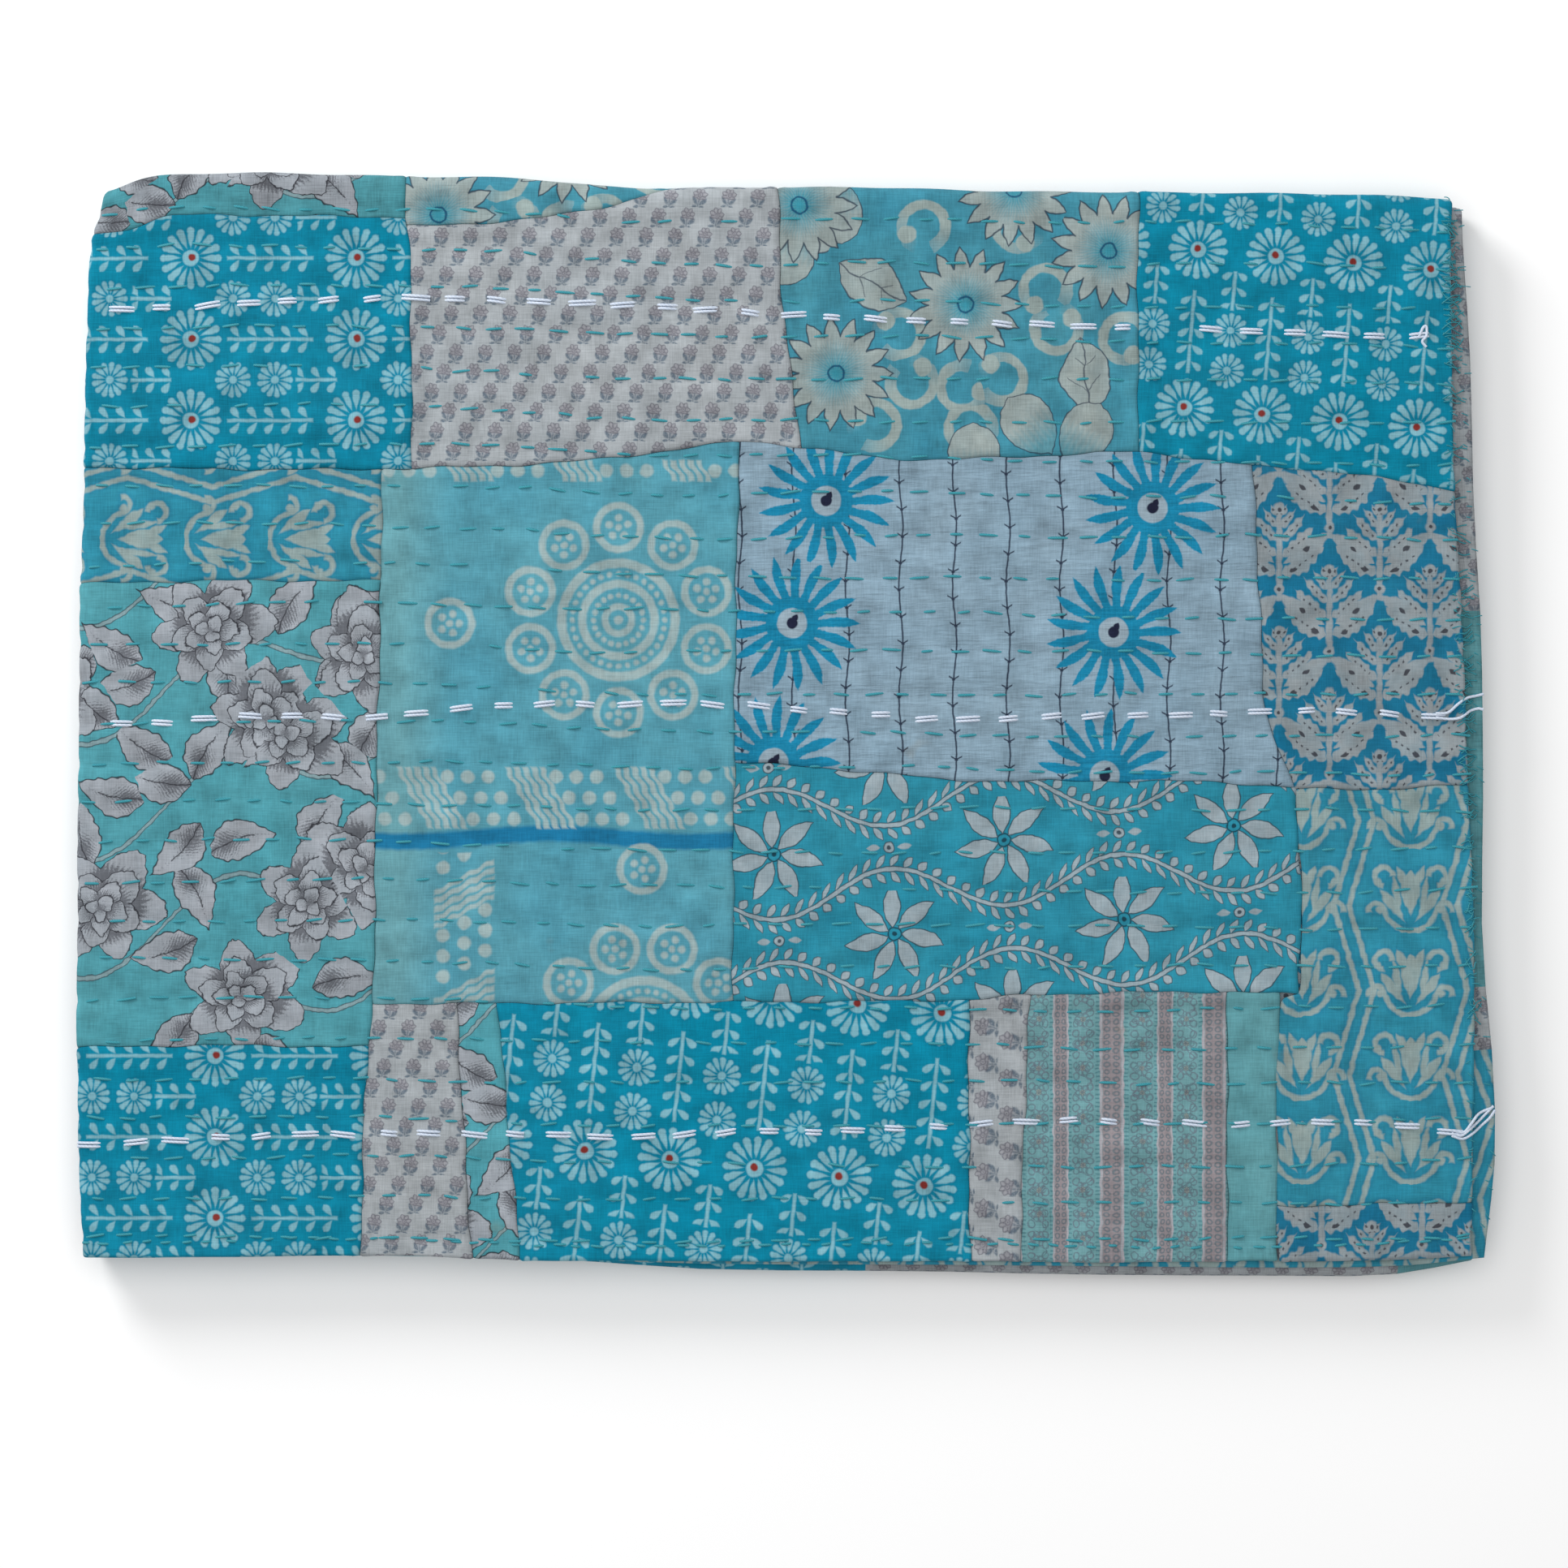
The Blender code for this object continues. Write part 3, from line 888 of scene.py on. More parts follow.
def peony_print():
    tree, place, x, y = start_print("peony print", 2.6)
    ground = paint(tree, dye("55B7C8"), dye("70C6D2"), noise(tree, place, 0.01, 3))
    stipple = (noise(tree, place, 0.55, 2) - 0.5) * 3.4
    paper = paint(tree, dye("CCD1DA"), dye("B9C4CE"), noise(tree, place, 0.03, 2))
    ragged = (noise(tree, place, 0.07, 3) - 0.5) * 15.0
    twig_y = y + (x * 0.021).sine() * 34.0 - x * 0.35
    twig = abs((twig_y + 40.0).wrapped(72)) - 2.9
    colour = paint(tree, ground, dye("A3C4CB"), twig.fill(1.5))
    colour = paint(tree, colour, dye("343947"), (abs(twig) - 0.6).fill(1.2) * 0.8)

    def shaded(colour, shape, depth, outline):
        """One pale petal or leaf: its paper, its hatched shade and its dark line."""
        inside = shape.fill(1.4)
        colour = paint(tree, colour, paper, inside)
        colour = paint(tree, colour, dye("3E3C48"), (depth + stipple).fill(1.3) * inside * 0.64)
        return paint(tree, colour, dye("24222E"), outline.fill(1.2) * 0.9)

    lx, ly, spin = nearest(tree, place, PEONY_LEAVES)
    p, q = turned_by(lx, ly, spin)
    q = q + p * p * 0.004
    leaf = drop(-p, q, -52.0, 36.0, 27.0) + (p * 0.42).sine() * 0.9 + ragged * 0.25
    rib = within(abs(q) - 0.6, leaf, p - 24.0)
    hatch = (p * 1.3 + abs(q) * 1.3).sine() * 0.5
    depth = join(far((p + 12.0) * 0.8, q) * 0.13 - 1.5, abs(q) * 0.3 + p * 0.03 - 0.5) + hatch
    colour = shaded(colour, leaf, depth, join(abs(leaf) - 0.9, rib))
    fx, fy, spin = nearest(tree, place, PEONIES)
    fx, fy = turned_by(fx, fy, spin)
    compass = fy.step("ARCTAN2", fx)
    hatch = (compass * 58.0).sine() * 0.5
    for count, size, bulge, shift, inner in PETAL_RINGS:
        turn = abs((compass * (count / 2) + shift).wrapped(math.pi / 2))
        ridge = turn.sine() * 0.45 + turn * (0.55 / (math.pi / 2))
        reach = far(fx - size * 0.1, fy * 1.2) + ragged
        petal = reach - ridge * bulge - (size - bulge)
        seam = within(ridge * size * 0.5 - 1.0, petal, inner - reach)
        depth = (reach - inner) * 0.15 - 0.25 + hatch - (1.0 - ridge) * 0.45
        colour = shaded(colour, petal, depth, join(abs(petal) - 0.9, seam))
    return end_print(tree, colour)


PRINTS["peony"] = peony_print()

# %% [markdown]
# ## Rings of the resist-dyed cloth
#
# A wax-resist cloth with a ringed medallion, ten small rings with dots in them round it, a few
# lone rings, and bands of braid. Wax lets some dye through, so its ground is cloudy. Folding
# the angle round the centre turns one small ring into ten.

# %% Ring medallion print
MEDALLIONS = ((0, 0, 0), (31, -514, 18))
LONE_RINGS = ((-208, -4, 0), (29, -307, 0))
WAX_RINGS = ((70, 5.6), (44.5, 5.0), (16.5, 4.2))  # radius and half width
DOT_RINGS = ((32, 57.0), (20, 30.5))  # number of dots and radius


def ring_print():
    tree, place, x, y = start_print("ring medallion print", 1.6)
    mx, my, offset = nearest(tree, place, MEDALLIONS)
    radius = far(mx, my)
    angle = mx.step("ARCTAN2", my) + offset
    rings = join(*[abs(radius - at) - half for at, half in WAX_RINGS], radius - 5.5)
    for count, at in DOT_RINGS:
        turn = angle.wrapped(math.pi / count)
        rings = join(rings, far(radius * turn.cosine() - at, radius * turn.sine()) - 3.4)
    turn = angle.wrapped(math.pi / 10)
    sx, sy = radius * turn.cosine() - 114.0, radius * turn.sine()
    lone_x, lone_y, _ = nearest(tree, place, LONE_RINGS)
    closer = far(lone_x, lone_y).step("LESS_THAN", far(sx, sy))
    sx, sy = sx + (lone_x - sx) * closer, sy + (lone_y - sy) * closer
    p, q, small_radius = around(sx, sy, 5)
    small_rings = join(abs(small_radius - 27) - 4.3, far(p - 12.0, q) - 4.6, small_radius - 4.2)

    def braid(along, across, half, start):
        """Bundles of slanting strokes, and between them rows of three dots."""
        wobble = (across * 0.3).sine() * 1.6
        local = (along + across * 0.55 + start + wobble).wrapped(67)
        strands = within(abs((local + 34.0).wrapped(5.4)) - 3.6, abs(local + 34.0) - 24)
        row = (across / 26.0 + 0.5).floor()
        spot = (along + row * 16.0 + start).wrapped(67)
        dots = far((spot - 1.0).wrapped(12.5), across - row * 26.0) - 8.3
        dots = within(dots, abs(spot - 26.0) - 37.0)
        return within(join(strands, dots), abs(across) - half)

    bands = join(
        braid(x, y + 219.0, 38.0, 196.0),
        braid(x, y - 184.0, 13.0, 150.0),
        within(braid(-y, x + 190.0, 37.0, 30.0), y + 287.0),
    )
    field = within(join(rings, small_rings), -abs(y + 219.0) + 48.0, y - 168.0)
    clouds = noise(tree, place, 0.008, 4)
    ground = paint(tree, dye("52AECB"), dye("79C6D4"), clouds)
    pale = (x + 238.0).fill(60.0)
    ground = paint(tree, ground, dye("8CC7CC"), pale * 0.6)
    blue = abs(y + 268.0 + (x * 0.018).sine() * 5.0) - 10.0
    ground = paint(tree, ground, dye("2391C4"), blue.fill(5))
    cream = paint(tree, dye("C8DAD8"), dye("AAD0D6"), noise(tree, place, 0.06, 3))
    return end_print(tree, paint(tree, ground, cream, join(field, bands).fill(3.0)))


PRINTS["ring"] = ring_print()

# %% [markdown]
# ## Ray flowers and barbed lines
#
# A pale grey-blue crinkled cotton with big bright blue ray flowers, and thin dark lines, 66
# units apart, that bear a barb every 33. A flower is one long petal folded round its centre
# seventeen times.

# %% Ray flower print
RAY_FLOWERS = ((0, 0, 0), (-42, -151, 0), (-65, -323, 0), (402, -9, 0), (354, -162, 0), (343, -339, 0))
BARBED_STEP = 33  # from a barbed line to either side, and twice the step of its barbs


def ray_print():
    tree, place, x, y = start_print("ray flower print", 1.0)
    ground = paint(tree, dye("9CBFD6"), dye("AFCBDD"), noise(tree, place, 0.01, 3))
    line_x = (x - 92.0 + (y * 0.045).sine() * 2.4).wrapped(BARBED_STEP)
    line = abs(line_x) - 1.0
    barb_y = (y + (x / (2.0 * BARBED_STEP)).floor() * 11.0).wrapped(BARBED_STEP / 2)
    barb = within(abs(barb_y - abs(line_x) * 0.6) - 1.0, abs(line_x) - 6.5)
    knot = far(line_x, barb_y) - 2.2
    colour = paint(tree, ground, dye("27324C"), join(line, barb, knot).fill(1.3) * 0.95)
    fx, fy, _ = nearest(tree, place, RAY_FLOWERS)
    p, q, radius = around(fx, fy, 17)
    q = q + (p * 0.08).sine() * 1.3
    rays = join(drop(p, q, 18, 84, 6.8), within(abs(q) - 5.0, p - 62.0), radius - 33.0)
    ragged = noise(tree, place, 0.3, 2)
    blue = paint(tree, dye("0092C4"), dye("2AA8D0"), ragged)
    colour = paint(tree, colour, blue, (rays + (ragged - 0.5) * 2.6).fill(1.4))
    colour = paint(tree, colour, dye("B4CCDB"), (radius - 18.5).fill(1.8))
    eye = join(far(fx, fy) - 7.0, lens(*turned(fx, fy, 60), 13, 4.0))
    return end_print(tree, paint(tree, colour, dye("252A48"), eye.fill(1.6)))


PRINTS["ray"] = ray_print()

# %% [markdown]
# ## Vines and pinwheels
#
# Wavy vines set with tiny leaves run between rows of seven-petalled pinwheels. The rows climb
# a little to the right, so the whole drawing is turned. Every other row starts half a repeat
# further on, and each vine swings away from the pinwheels above and below it.

# %% Vine print
VINE_REPEAT, VINE_ROW, VINE_CLIMB = 284.0, 107.0, 3.6  # two sizes and an angle


def vine_print():
    tree, place, x, y = start_print("vine print", 1.8)
    x, y = turned(x, y, VINE_CLIMB)
    half = VINE_REPEAT / 2
    row = (y / VINE_ROW + 0.5).floor()
    cell_x = (x + row.odd() * half).wrapped(half)
    cell_y = y - row * VINE_ROW
    p, q, radius = around(cell_x, cell_y, 7, twist=0.009)
    pinwheel = lens(p - 8.0, q - (p - 8.0) * (p - 8.0) * 0.0065, 52, 11.0)
    eye_x = (cell_x + half).wrapped(half)
    eye = far(eye_x, cell_y) - 6.5
    drops = lens(abs(eye_x) - 11.0, cell_y, 17, 4.0)
    vine_row = (y / VINE_ROW).floor()
    phase = x * (math.tau / VINE_REPEAT) + vine_row.odd() * math.pi
    off = y - vine_row * VINE_ROW - VINE_ROW / 2 - phase.cosine() * 27.0
    vine = abs(off) - 3.0
    leaf_x = x.wrapped(8.6) + 4.5
    rise = abs(off) - 3.0
    leaves = lens(rise * 0.8 + leaf_x * 0.6, rise * 0.6 - leaf_x * 0.8, 18.5, 4.2)
    cream = join(pinwheel, vine, leaves, eye, drops)
    ground = paint(tree, dye("1FA0C2"), dye("43B3CB"), noise(tree, place, 0.012, 3))
    cream_colour = paint(tree, dye("C3D1D8"), dye("ADC6D2"), noise(tree, place, 0.06, 2))
    colour = paint(tree, ground, cream_colour, cream.fill(1.6))
    pip = join(radius - 3.0, far(eye_x, cell_y) - 2.6, abs(radius - 8.0) - 0.9)
    outline = join(abs(pinwheel) - 0.7, abs(vine) - 0.6, abs(leaves) - 0.5, abs(eye) - 0.6, pip)
    return end_print(tree, paint(tree, colour, dye("1B3648"), outline.fill(1.2) * 0.85))


PRINTS["vine"] = vine_print()

# %% [markdown]
# ## Leafy trees
#
# A busy cotton: beige trees with lobed leaves on a strong blue, packed so closely that the
# blue only shows between them, with fine dark stitches down their leaves. Each row of the
# table is a pair of leaves: how far down the trunk, the angle, the length and half the width.

# %% Tree print
TREE_ACROSS, TREE_UP = 62, 76  # half of what repeats
TREE_LEAVES = (
    (2, 54, 18, 3.4),
    (16, 46, 31, 4.5),
    (32, 38, 44, 5.8),
    (50, 30, 55, 7.2),
    (72, 20, 63, 10.5),
)


def tree_print():
    tree, place, x, y = start_print("leafy tree print", 3.0)

    def one_tree(x, y):
        """A tree, from its bud at y 10 down to its roots: the shape, and the dots on its leaves."""
        side = abs(x)
        shape = join(
            far(x, (y - 8.0) * 0.8) - 7.0,
            within(side - 3.6, y - 10.0, -y - 104),
            far(x, y + 90.0) - 6.5,
            lens(*turned(side, y + 97.0, -35), 70, 11.0),
        )
        dots = join(far(x, y - 8.0) - 2.6, far(x, y + 90.0) - 2.2)
        dots = join(dots, lens(*turned(side - 24.0, y + 113.0, -35), 11, 2.8))
        for height, angle, length, half in TREE_LEAVES:
            p, q = turned(side, y + height, angle)
            q = q - p * p * 0.0035
            lobes = (p * 0.5).sine() * (half * 0.16)
            shape = join(shape, lens(p, q, length, half) + lobes)
            stitch = within(abs(q) - 1.0, abs((p - 4.0).wrapped(4.2)) - 1.5)
            dots = join(dots, within(stitch, abs(p - length * 0.52) - length * 0.28))
        return shape, join(dots, lens(*turned(side - 13.0, y + 68.0, 20), 11, 2.8))

    middle = 58.0
    trees = [
        one_tree(
            (x + by * TREE_ACROSS).wrapped(TREE_ACROSS),
            (y + by * TREE_UP + middle).wrapped(TREE_UP) - middle,
        )
        for by in (0.0, 1.0)
    ]
    beige = join(*[shape for shape, _ in trees])
    dots = join(*[dots for _, dots in trees])
    ground = paint(tree, dye("0C7DAB"), dye("2B94B8"), noise(tree, place, 0.02, 3))
    cloth = paint(tree, dye("BABCBD"), dye("A0BAC6"), noise(tree, place, 0.03, 3))
    colour = paint(tree, ground, cloth, beige.fill(2.2))
    return end_print(tree, paint(tree, colour, dye("33303F"), dots.fill(1.3) * 0.85))


PRINTS["tree"] = tree_print()

# %% [markdown]
# ## Ornament stripes and the plain strip
#
# Narrow stripes of worn scrollwork in mauve and aqua, uneven in width, and a plain light aqua
# cotton that only needs its own unevenness.

# %% Stripe and plain prints
STRIPE_HALF = 31.8


def stripe_print():
    tree, place, x, y = start_print("ornament stripe print", 2.4)
    x = x + (x * 0.047).sine() * 5.0
    side = abs(x.wrapped(STRIPE_HALF))
    aqua_x = (x + STRIPE_HALF).wrapped(STRIPE_HALF)
    ground = paint(tree, dye("8AC2C8"), dye("B3A9AE"), (side - 9.5).fill(2.0))
    beads = abs(far(side - 4.6, y.wrapped(4.4)) - 2.6) - 0.9
    worn = noise(tree, place, 0.3, 2)
    ink = paint(tree, dye("80757E"), dye("6A98A4"), worn)
    colour = paint(tree, ground, ink, within(beads, side - 8.5).fill(1.3) * 0.8)
    p, q, radius = around(aqua_x, (y + 6.0).wrapped(15), 6)
    florets = within(join(abs(drop(p, q, 2.5, 10, 3.4)) - 0.9, radius - 2.2), radius - 11.0)
    leafy = abs(far(abs(aqua_x) - 9.0, (y + 4.0).wrapped(6.5)) - 4.2) - 0.8
    scroll = abs(aqua_x - (y * (math.tau / 30)).sine() * 11.0) - 1.0
    fringe = within(abs(y.wrapped(2.6)) - 0.9, abs(side - 14.0) - 2.2)
    zone = 12.5 - side
    warm = paint(tree, dye("8D7F96"), dye("5C8C94"), noise(tree, place, 0.06, 1))
    colour = paint(tree, colour, dye("C9BFA4"), within(radius - 3.4, zone).fill(1.4) * 0.6)
    drawn = within(join(florets, scroll, leafy), zone).fill(1.3)
    colour = paint(tree, colour, warm, drawn * (1.25 - worn))
    colour = paint(tree, colour, dye("4A8593"), fringe.fill(1.2) * 0.65)
    colour = paint(tree, colour, dye("CFCBD3"), (abs(side - 10.6) - 1.2).fill(1.2))
    return end_print(tree, colour)


def plain_print():
    tree, place, _, _ = start_print("plain aqua cotton")
    clouds = noise(tree, place, 0.01, 4)
    return end_print(tree, paint(tree, dye("69B6C2"), dye("82C6CD"), clouds))


PRINTS["stripe"] = stripe_print()
PRINTS["plain"] = plain_print()
print(len(PRINTS), "prints in all")

# %% [markdown]
# ## Washed cotton
#
# Every printed cloth has been washed often: the colour has faded in clouds, there are a few
# faint tea-coloured marks, and thick and thin threads show in the weave. The colour also
# carries painted shade: blotches that are partly uneven dye and partly shaded soft folds,
# darker crinkles on the crinkled cotton, and painted shadow with a little dust by the seams.
# This finish is one group that every cotton passes through, so they all belong to the same
# old quilt. Its inputs say how faded, crinkled and bright a cotton is, and how near a place is
# to a seam.

# %% Washed cotton group
WASHED_TONE = 0.52  # how much light the cloth gives back, against its fresh dye
# how much the painted seam shadow, with its little dust, darkens the cloth
SEAM_DARKENS = 0.17
# these also set how much painted shade the crinkles put into the colour
SMOOTH, CRINKLED = 0.3, 1.8  # plain weave, and the crinkled cotton of the ray flowers
FADED = 0.05
WEAVE_BUMP, TWIST_BUMP = 0.9 * MM, 0.2 * MM


def washed_cotton_group():
    tree = bpy.data.node_groups.new("washed cotton", "ShaderNodeTree")
    for side in ("INPUT", "OUTPUT"):
        tree.interface.new_socket("Color", in_out=side, socket_type="NodeSocketColor")
    tree.interface.new_socket("Cloth", in_out="INPUT", socket_type="NodeSocketVector")
    for name in ("Fade", "Crinkle", "Tone", "Seam"):
        tree.interface.new_socket(name, in_out="INPUT", socket_type="NodeSocketFloat")
    for name in ("Roughness", "Height"):
        tree.interface.new_socket(name, in_out="OUTPUT", socket_type="NodeSocketFloat")
    given = tree.nodes.new("NodeGroupInput")
    cloth = given.outputs["Cloth"]
    warp = noise(tree, vector_step(tree, "MULTIPLY", cloth, (1500, 90, 1)), 1.0, 2)
    weft = noise(tree, vector_step(tree, "MULTIPLY", cloth, (90, 1500, 1)), 1.0, 2)
    weave = warp * 0.5 + weft * 0.5
    crepe = noise(tree, vector_step(tree, "MULTIPLY", cloth, (70, 460, 1)), 1.0, 3)
    crinkle = Ink(tree, given.outputs["Crinkle"])
    clouds = noise(tree, cloth, 9.0, 4)
    grime = noise(tree, cloth, 21.0, 3)
    faded = Ink(tree, given.outputs["Fade"]) * (clouds - 0.35)
    colour = paint(tree, given.outputs["Color"], dye("A9C2C8"), faded.step("MAXIMUM", 0.0))
    marks = (0.735 - grime).fill(0.06) * 0.35
    colour = paint(tree, colour, dye("A08F6C"), marks)
    # blotches: partly uneven dye, partly painted shade of soft folds
    blotches = noise(tree, cloth, 62.0, 4)
    # painted shade: the crepe term darkens the colour in the crinkles of a crinkled cotton
    shade = weave * 0.5 + blotches * 0.5 + (crepe - 0.5) * crinkle * 0.1 - 0.5
    shade = shade + Ink(tree, given.outputs["Tone"])
    # painted shadow, with a little dust, darkens the cloth by the seams
    shade = shade * (1.0 - Ink(tree, given.outputs["Seam"]) * SEAM_DARKENS)
    grey = add_node(tree, "ShaderNodeCombineColor", Red=shade, Green=shade, Blue=shade)
    colour = mix(tree, "RGBA", 1.0, colour, grey.outputs[0], blend="MULTIPLY")
    wrinkles = noise(tree, cloth, 120.0, 3)
    height = weave * 0.35 + wrinkles * 0.8 + crepe * crinkle
    add_node(tree, "NodeGroupOutput", Color=colour, Roughness=clouds * 0.15 + 0.8, Height=height)
    return tree


WASHED = washed_cotton_group()
CLOTH_MAP, SEAM_SHADE = "cloth", "seam_shade"


def cotton(name, print_name, middle=(970, 894), turn=0.0, size=1.0, crinkle=SMOOTH, tone=WASHED_TONE):
    """A washed cotton with a print, set by the pixel its drawing starts from and its turn."""
    material, tree, shader = new_material(name)
    uv = add_node(tree, "ShaderNodeUVMap", {"uv_map": CLOTH_MAP})
    mapping = add_node(
        tree, "ShaderNodeMapping", {"vector_type": "TEXTURE"}, Vector=uv.outputs[0],
        Location=(float(cloth_x(middle[0])), float(cloth_y(middle[1])), 0.0),
        Rotation=(0.0, 0.0, math.radians(turn)),
        Scale=(PHOTO_PIXEL * size, PHOTO_PIXEL * size, PHOTO_PIXEL),
    )
    drawing = add_node(
        tree, "ShaderNodeGroup", {"node_tree": PRINTS[print_name]}, Place=mapping.outputs[0]
    )
    # painted shadow and dust by the seams, read from the patch's attribute
    by_seam = add_node(tree, "ShaderNodeAttribute", {"attribute_name": SEAM_SHADE})
    finish = add_node(
        tree, "ShaderNodeGroup", {"node_tree": WASHED}, Color=drawing.outputs["Color"],
        Cloth=uv.outputs[0], Seam=by_seam.outputs["Fac"], Fade=FADED, Tone=tone, Crinkle=crinkle,
    )
    bump = add_node(
        tree, "ShaderNodeBump", Strength=0.55, Distance=WEAVE_BUMP, Height=finish.outputs["Height"]
    )
    fill_inputs(
        tree, shader, Base_Color=finish.outputs["Color"], Roughness=finish.outputs["Roughness"],
        Normal=bump.outputs["Normal"], Sheen_Weight=0.015, Sheen_Roughness=0.6,
        Specular_IOR_Level=0.08,
    )
    return material


print("washed cotton group has", len(WASHED.nodes), "nodes")

# %% [markdown]
# ## Thread
#
# Sewing thread is two or three plies twisted together. Slanting bands in the bump give the
# twist, and the colour is a little uneven: in blotches, as a hand-dyed cotton is, and lighter
# and darker along the same slanting bands.

# %% Thread materials


def thread(name, light, dark, pitch):
    material, tree, shader = new_material(name)
    where = tree.nodes.new("ShaderNodeTexCoord").outputs["Object"]
    x, y, z = split(tree, where)
    twist = ((x + y * 0.8 + z * 0.6) * (math.tau / pitch)).sine() * 0.5 + 0.5
    blotch = noise(tree, where, 160.0, 2)
    colour = paint(tree, dye(dark), dye(light), twist * 0.35 + blotch * 0.65)
    bump = add_node(tree, "ShaderNodeBump", Strength=0.6, Distance=TWIST_BUMP, Height=twist)
    fill_inputs(
        tree, shader, Base_Color=colour, Roughness=blotch * 0.2 + 0.7, Normal=bump.outputs["Normal"]
    )
    return material


TEAL_THREAD = thread("teal_thread", "3C96A0", "187788", 1.4 * MM)
WHITE_THREAD = thread("white_thread", "D6DDE9", "A9B8CC", 2.2 * MM)
print("two threads ready")

# %% [markdown]
# ## The body of the stack
#
# The body is the whole folded quilt as one closed cloth, finer than the plain solid. Stations
# across and along the flat quilt are folded over twice, first in half and then back and
# forth. Its top face is hidden under the patches, so it is set 1.8 mm lower. Where it shows,
# at the sides, the near fold, the back and the strip of reverse side beyond the top hem, it
# has its own patchwork, chosen face by face.

# %% Stations of the body
EDGE_SHARES = (0.004, 0.012, 0.028, 0.055, 0.09)
MIDDLE_SHARES = tuple(0.14 + 0.06 * i for i in range(13))
OPEN_SHARES = EDGE_SHARES + MIDDLE_SHARES + tuple(1 - s for s in reversed(EDGE_SHARES))
FOLD_STEPS, TURN_STEPS = 14, 18
HEM_PROFILE = ((0.0, 0.12), (0.2, 0.5), (0.55, 0.82), (1.0, 1.0))  # distance in, thickness
ROOM_FADE = 0.15 * math.pi  # the room for the patches ends over the last part of a bend


def body_columns():
    """Kind (1 front ply, 0 fold, -1 back ply), share, angle and thickness of each column."""
    rims = [(1 - d * HEM_ROUND / WIDTH, thin) for d, thin in HEM_PROFILE]
    found = [(1, share, 0.0, thin) for share, thin in rims]
    found += [(1, share, 0.0, 1.0) for share in reversed(OPEN_SHARES)]
    found += [(0, 0.0, math.pi * i / FOLD_STEPS, 1.0) for i in range(FOLD_STEPS + 1)]
    found += [(-1, share, 0.0, 1.0) for share in OPEN_SHARES]
    found += [(-1, share, 0.0, thin) for share, thin in reversed(rims)]
    return np.array(found)


def body_rows():
    """Panel, share, turn angle or a negative number, and thickness of each row."""
    rims = [(d * HEM_ROUND / DEPTH, thin) for d, thin in HEM_PROFILE]
    found = [(0, share, -1.0, thin) for share, thin in rims]
    found += [(0, share, -1.0, 1.0) for share in OPEN_SHARES]
    for panel in range(1, PANELS):
        found += [(panel - 1, 1.0, math.pi * i / TURN_STEPS, 1.0) for i in range(TURN_STEPS + 1)]
        found += [(panel, share, -1.0, 1.0) for share in OPEN_SHARES]
    found += [(LAST, 1 - share, -1.0, thin) for share, thin in reversed(rims)]
    return found


def body_row(columns, row, side):
    """The points of one row of the body, on its outer side (1) or its inner side (-1)."""
    kind, share, angle, thin = columns.T
    panel, along_share, turn, row_thin = row
    along = panel + along_share
    lift = side * PLY / 2 * np.minimum(thin, row_thin)
    if side > 0 and panel == 0:
        room = np.where(kind > 0, 1.0, np.clip((math.pi - angle) / ROOM_FADE, 0, 1))
        room = np.where(kind < 0, 0.0, room) * np.minimum(thin, row_thin)
        lift = lift - PATCH_ROOM * room * np.clip((math.pi - turn) / ROOM_FADE, 0, 1)
    fold_x = -WIDTH / 2 + read_row(SIDES, "left", along) + HALF_PAIR
    hem = np.where(kind > 0, read_row(SIDES, "front", along), read_row(SIDES, "back", along))
    radius = PLY_MIDDLE + lift
    flat_x = fold_x + share * (WIDTH / 2 - hem - fold_x)
    x = np.where(kind == 0, fold_x - radius * np.sin(angle), flat_x)
    off = np.where(kind == 0, radius * np.cos(angle), np.where(kind > 0, radius, -radius))
    outward = 1 if panel % 2 == 0 else -1
    level = TOP_LEVEL - panel * (PAIR + GAP)

    def edge(which):
        front = end_of_panel(which, share, "front")
        return np.where(kind < 0, end_of_panel(which, share, "back"), front)

    end = edge(panel)
    if turn < 0:
        start = edge(panel - 1)
        return settle(x, start + along_share * (end - start), level + outward * off)
    bend = TURN + outward * off
    return settle(x, end + outward * bend * math.sin(turn), level - TURN + bend * math.cos(turn))


columns, rows = body_columns(), body_rows()
print("the body has", len(columns), "by", len(rows), "stations")

# %% [markdown]
# ## Patchwork of the body
#
# The patches of the body are blocks of the flat quilt. A short rule picks the print of each
# block, and the strips that the camera sees beside and below the top panel have tables of
# their own.

# %% Choose a cotton for each face of the body
StripRow = namedtuple("StripRow", "up_to cotton")
RIGHT_STRIP = (
    StripRow(0.19, "tulip"), StripRow(0.25, "bud"), StripRow(0.60, "teal"), StripRow(9.0, "bud")
)
NEAR_STRIP = (StripRow(0.58, "daisy"), StripRow(0.935, "bud"), StripRow(9.0, "teal"))
NEAR_FOLD, NEAR_FOLD_REACH = 2, 0.12  # in panels from the near hem
BLOCK = 0.23  # the size of the body's blocks, as a share of a panel
BLOCK_COTTONS = ("daisy", "bud", "vine", "peony", "tulip", "ring", "tree", "plain")


def strip_cotton(strip, at):
    return next(row.cotton for row in strip if at <= row.up_to)


def body_cotton(kind, share, along, side):
    """Which cotton a face of the body is cut from."""
    if side < 0 and kind < 0 and along < 1:
        return strip_cotton(RIGHT_STRIP, along)
    if side > 0 and kind < 0 and abs(along - NEAR_FOLD) < NEAR_FOLD_REACH:
        return strip_cotton(NEAR_STRIP, share)
    across = int((share + 0.5 * (kind < 0)) / BLOCK)
    down = int(along / (BLOCK * 1.1) + 0.45 * (across % 2))
    return BLOCK_COTTONS[(across * 3 + down * 5 + (2 if side < 0 else 0)) % len(BLOCK_COTTONS)]


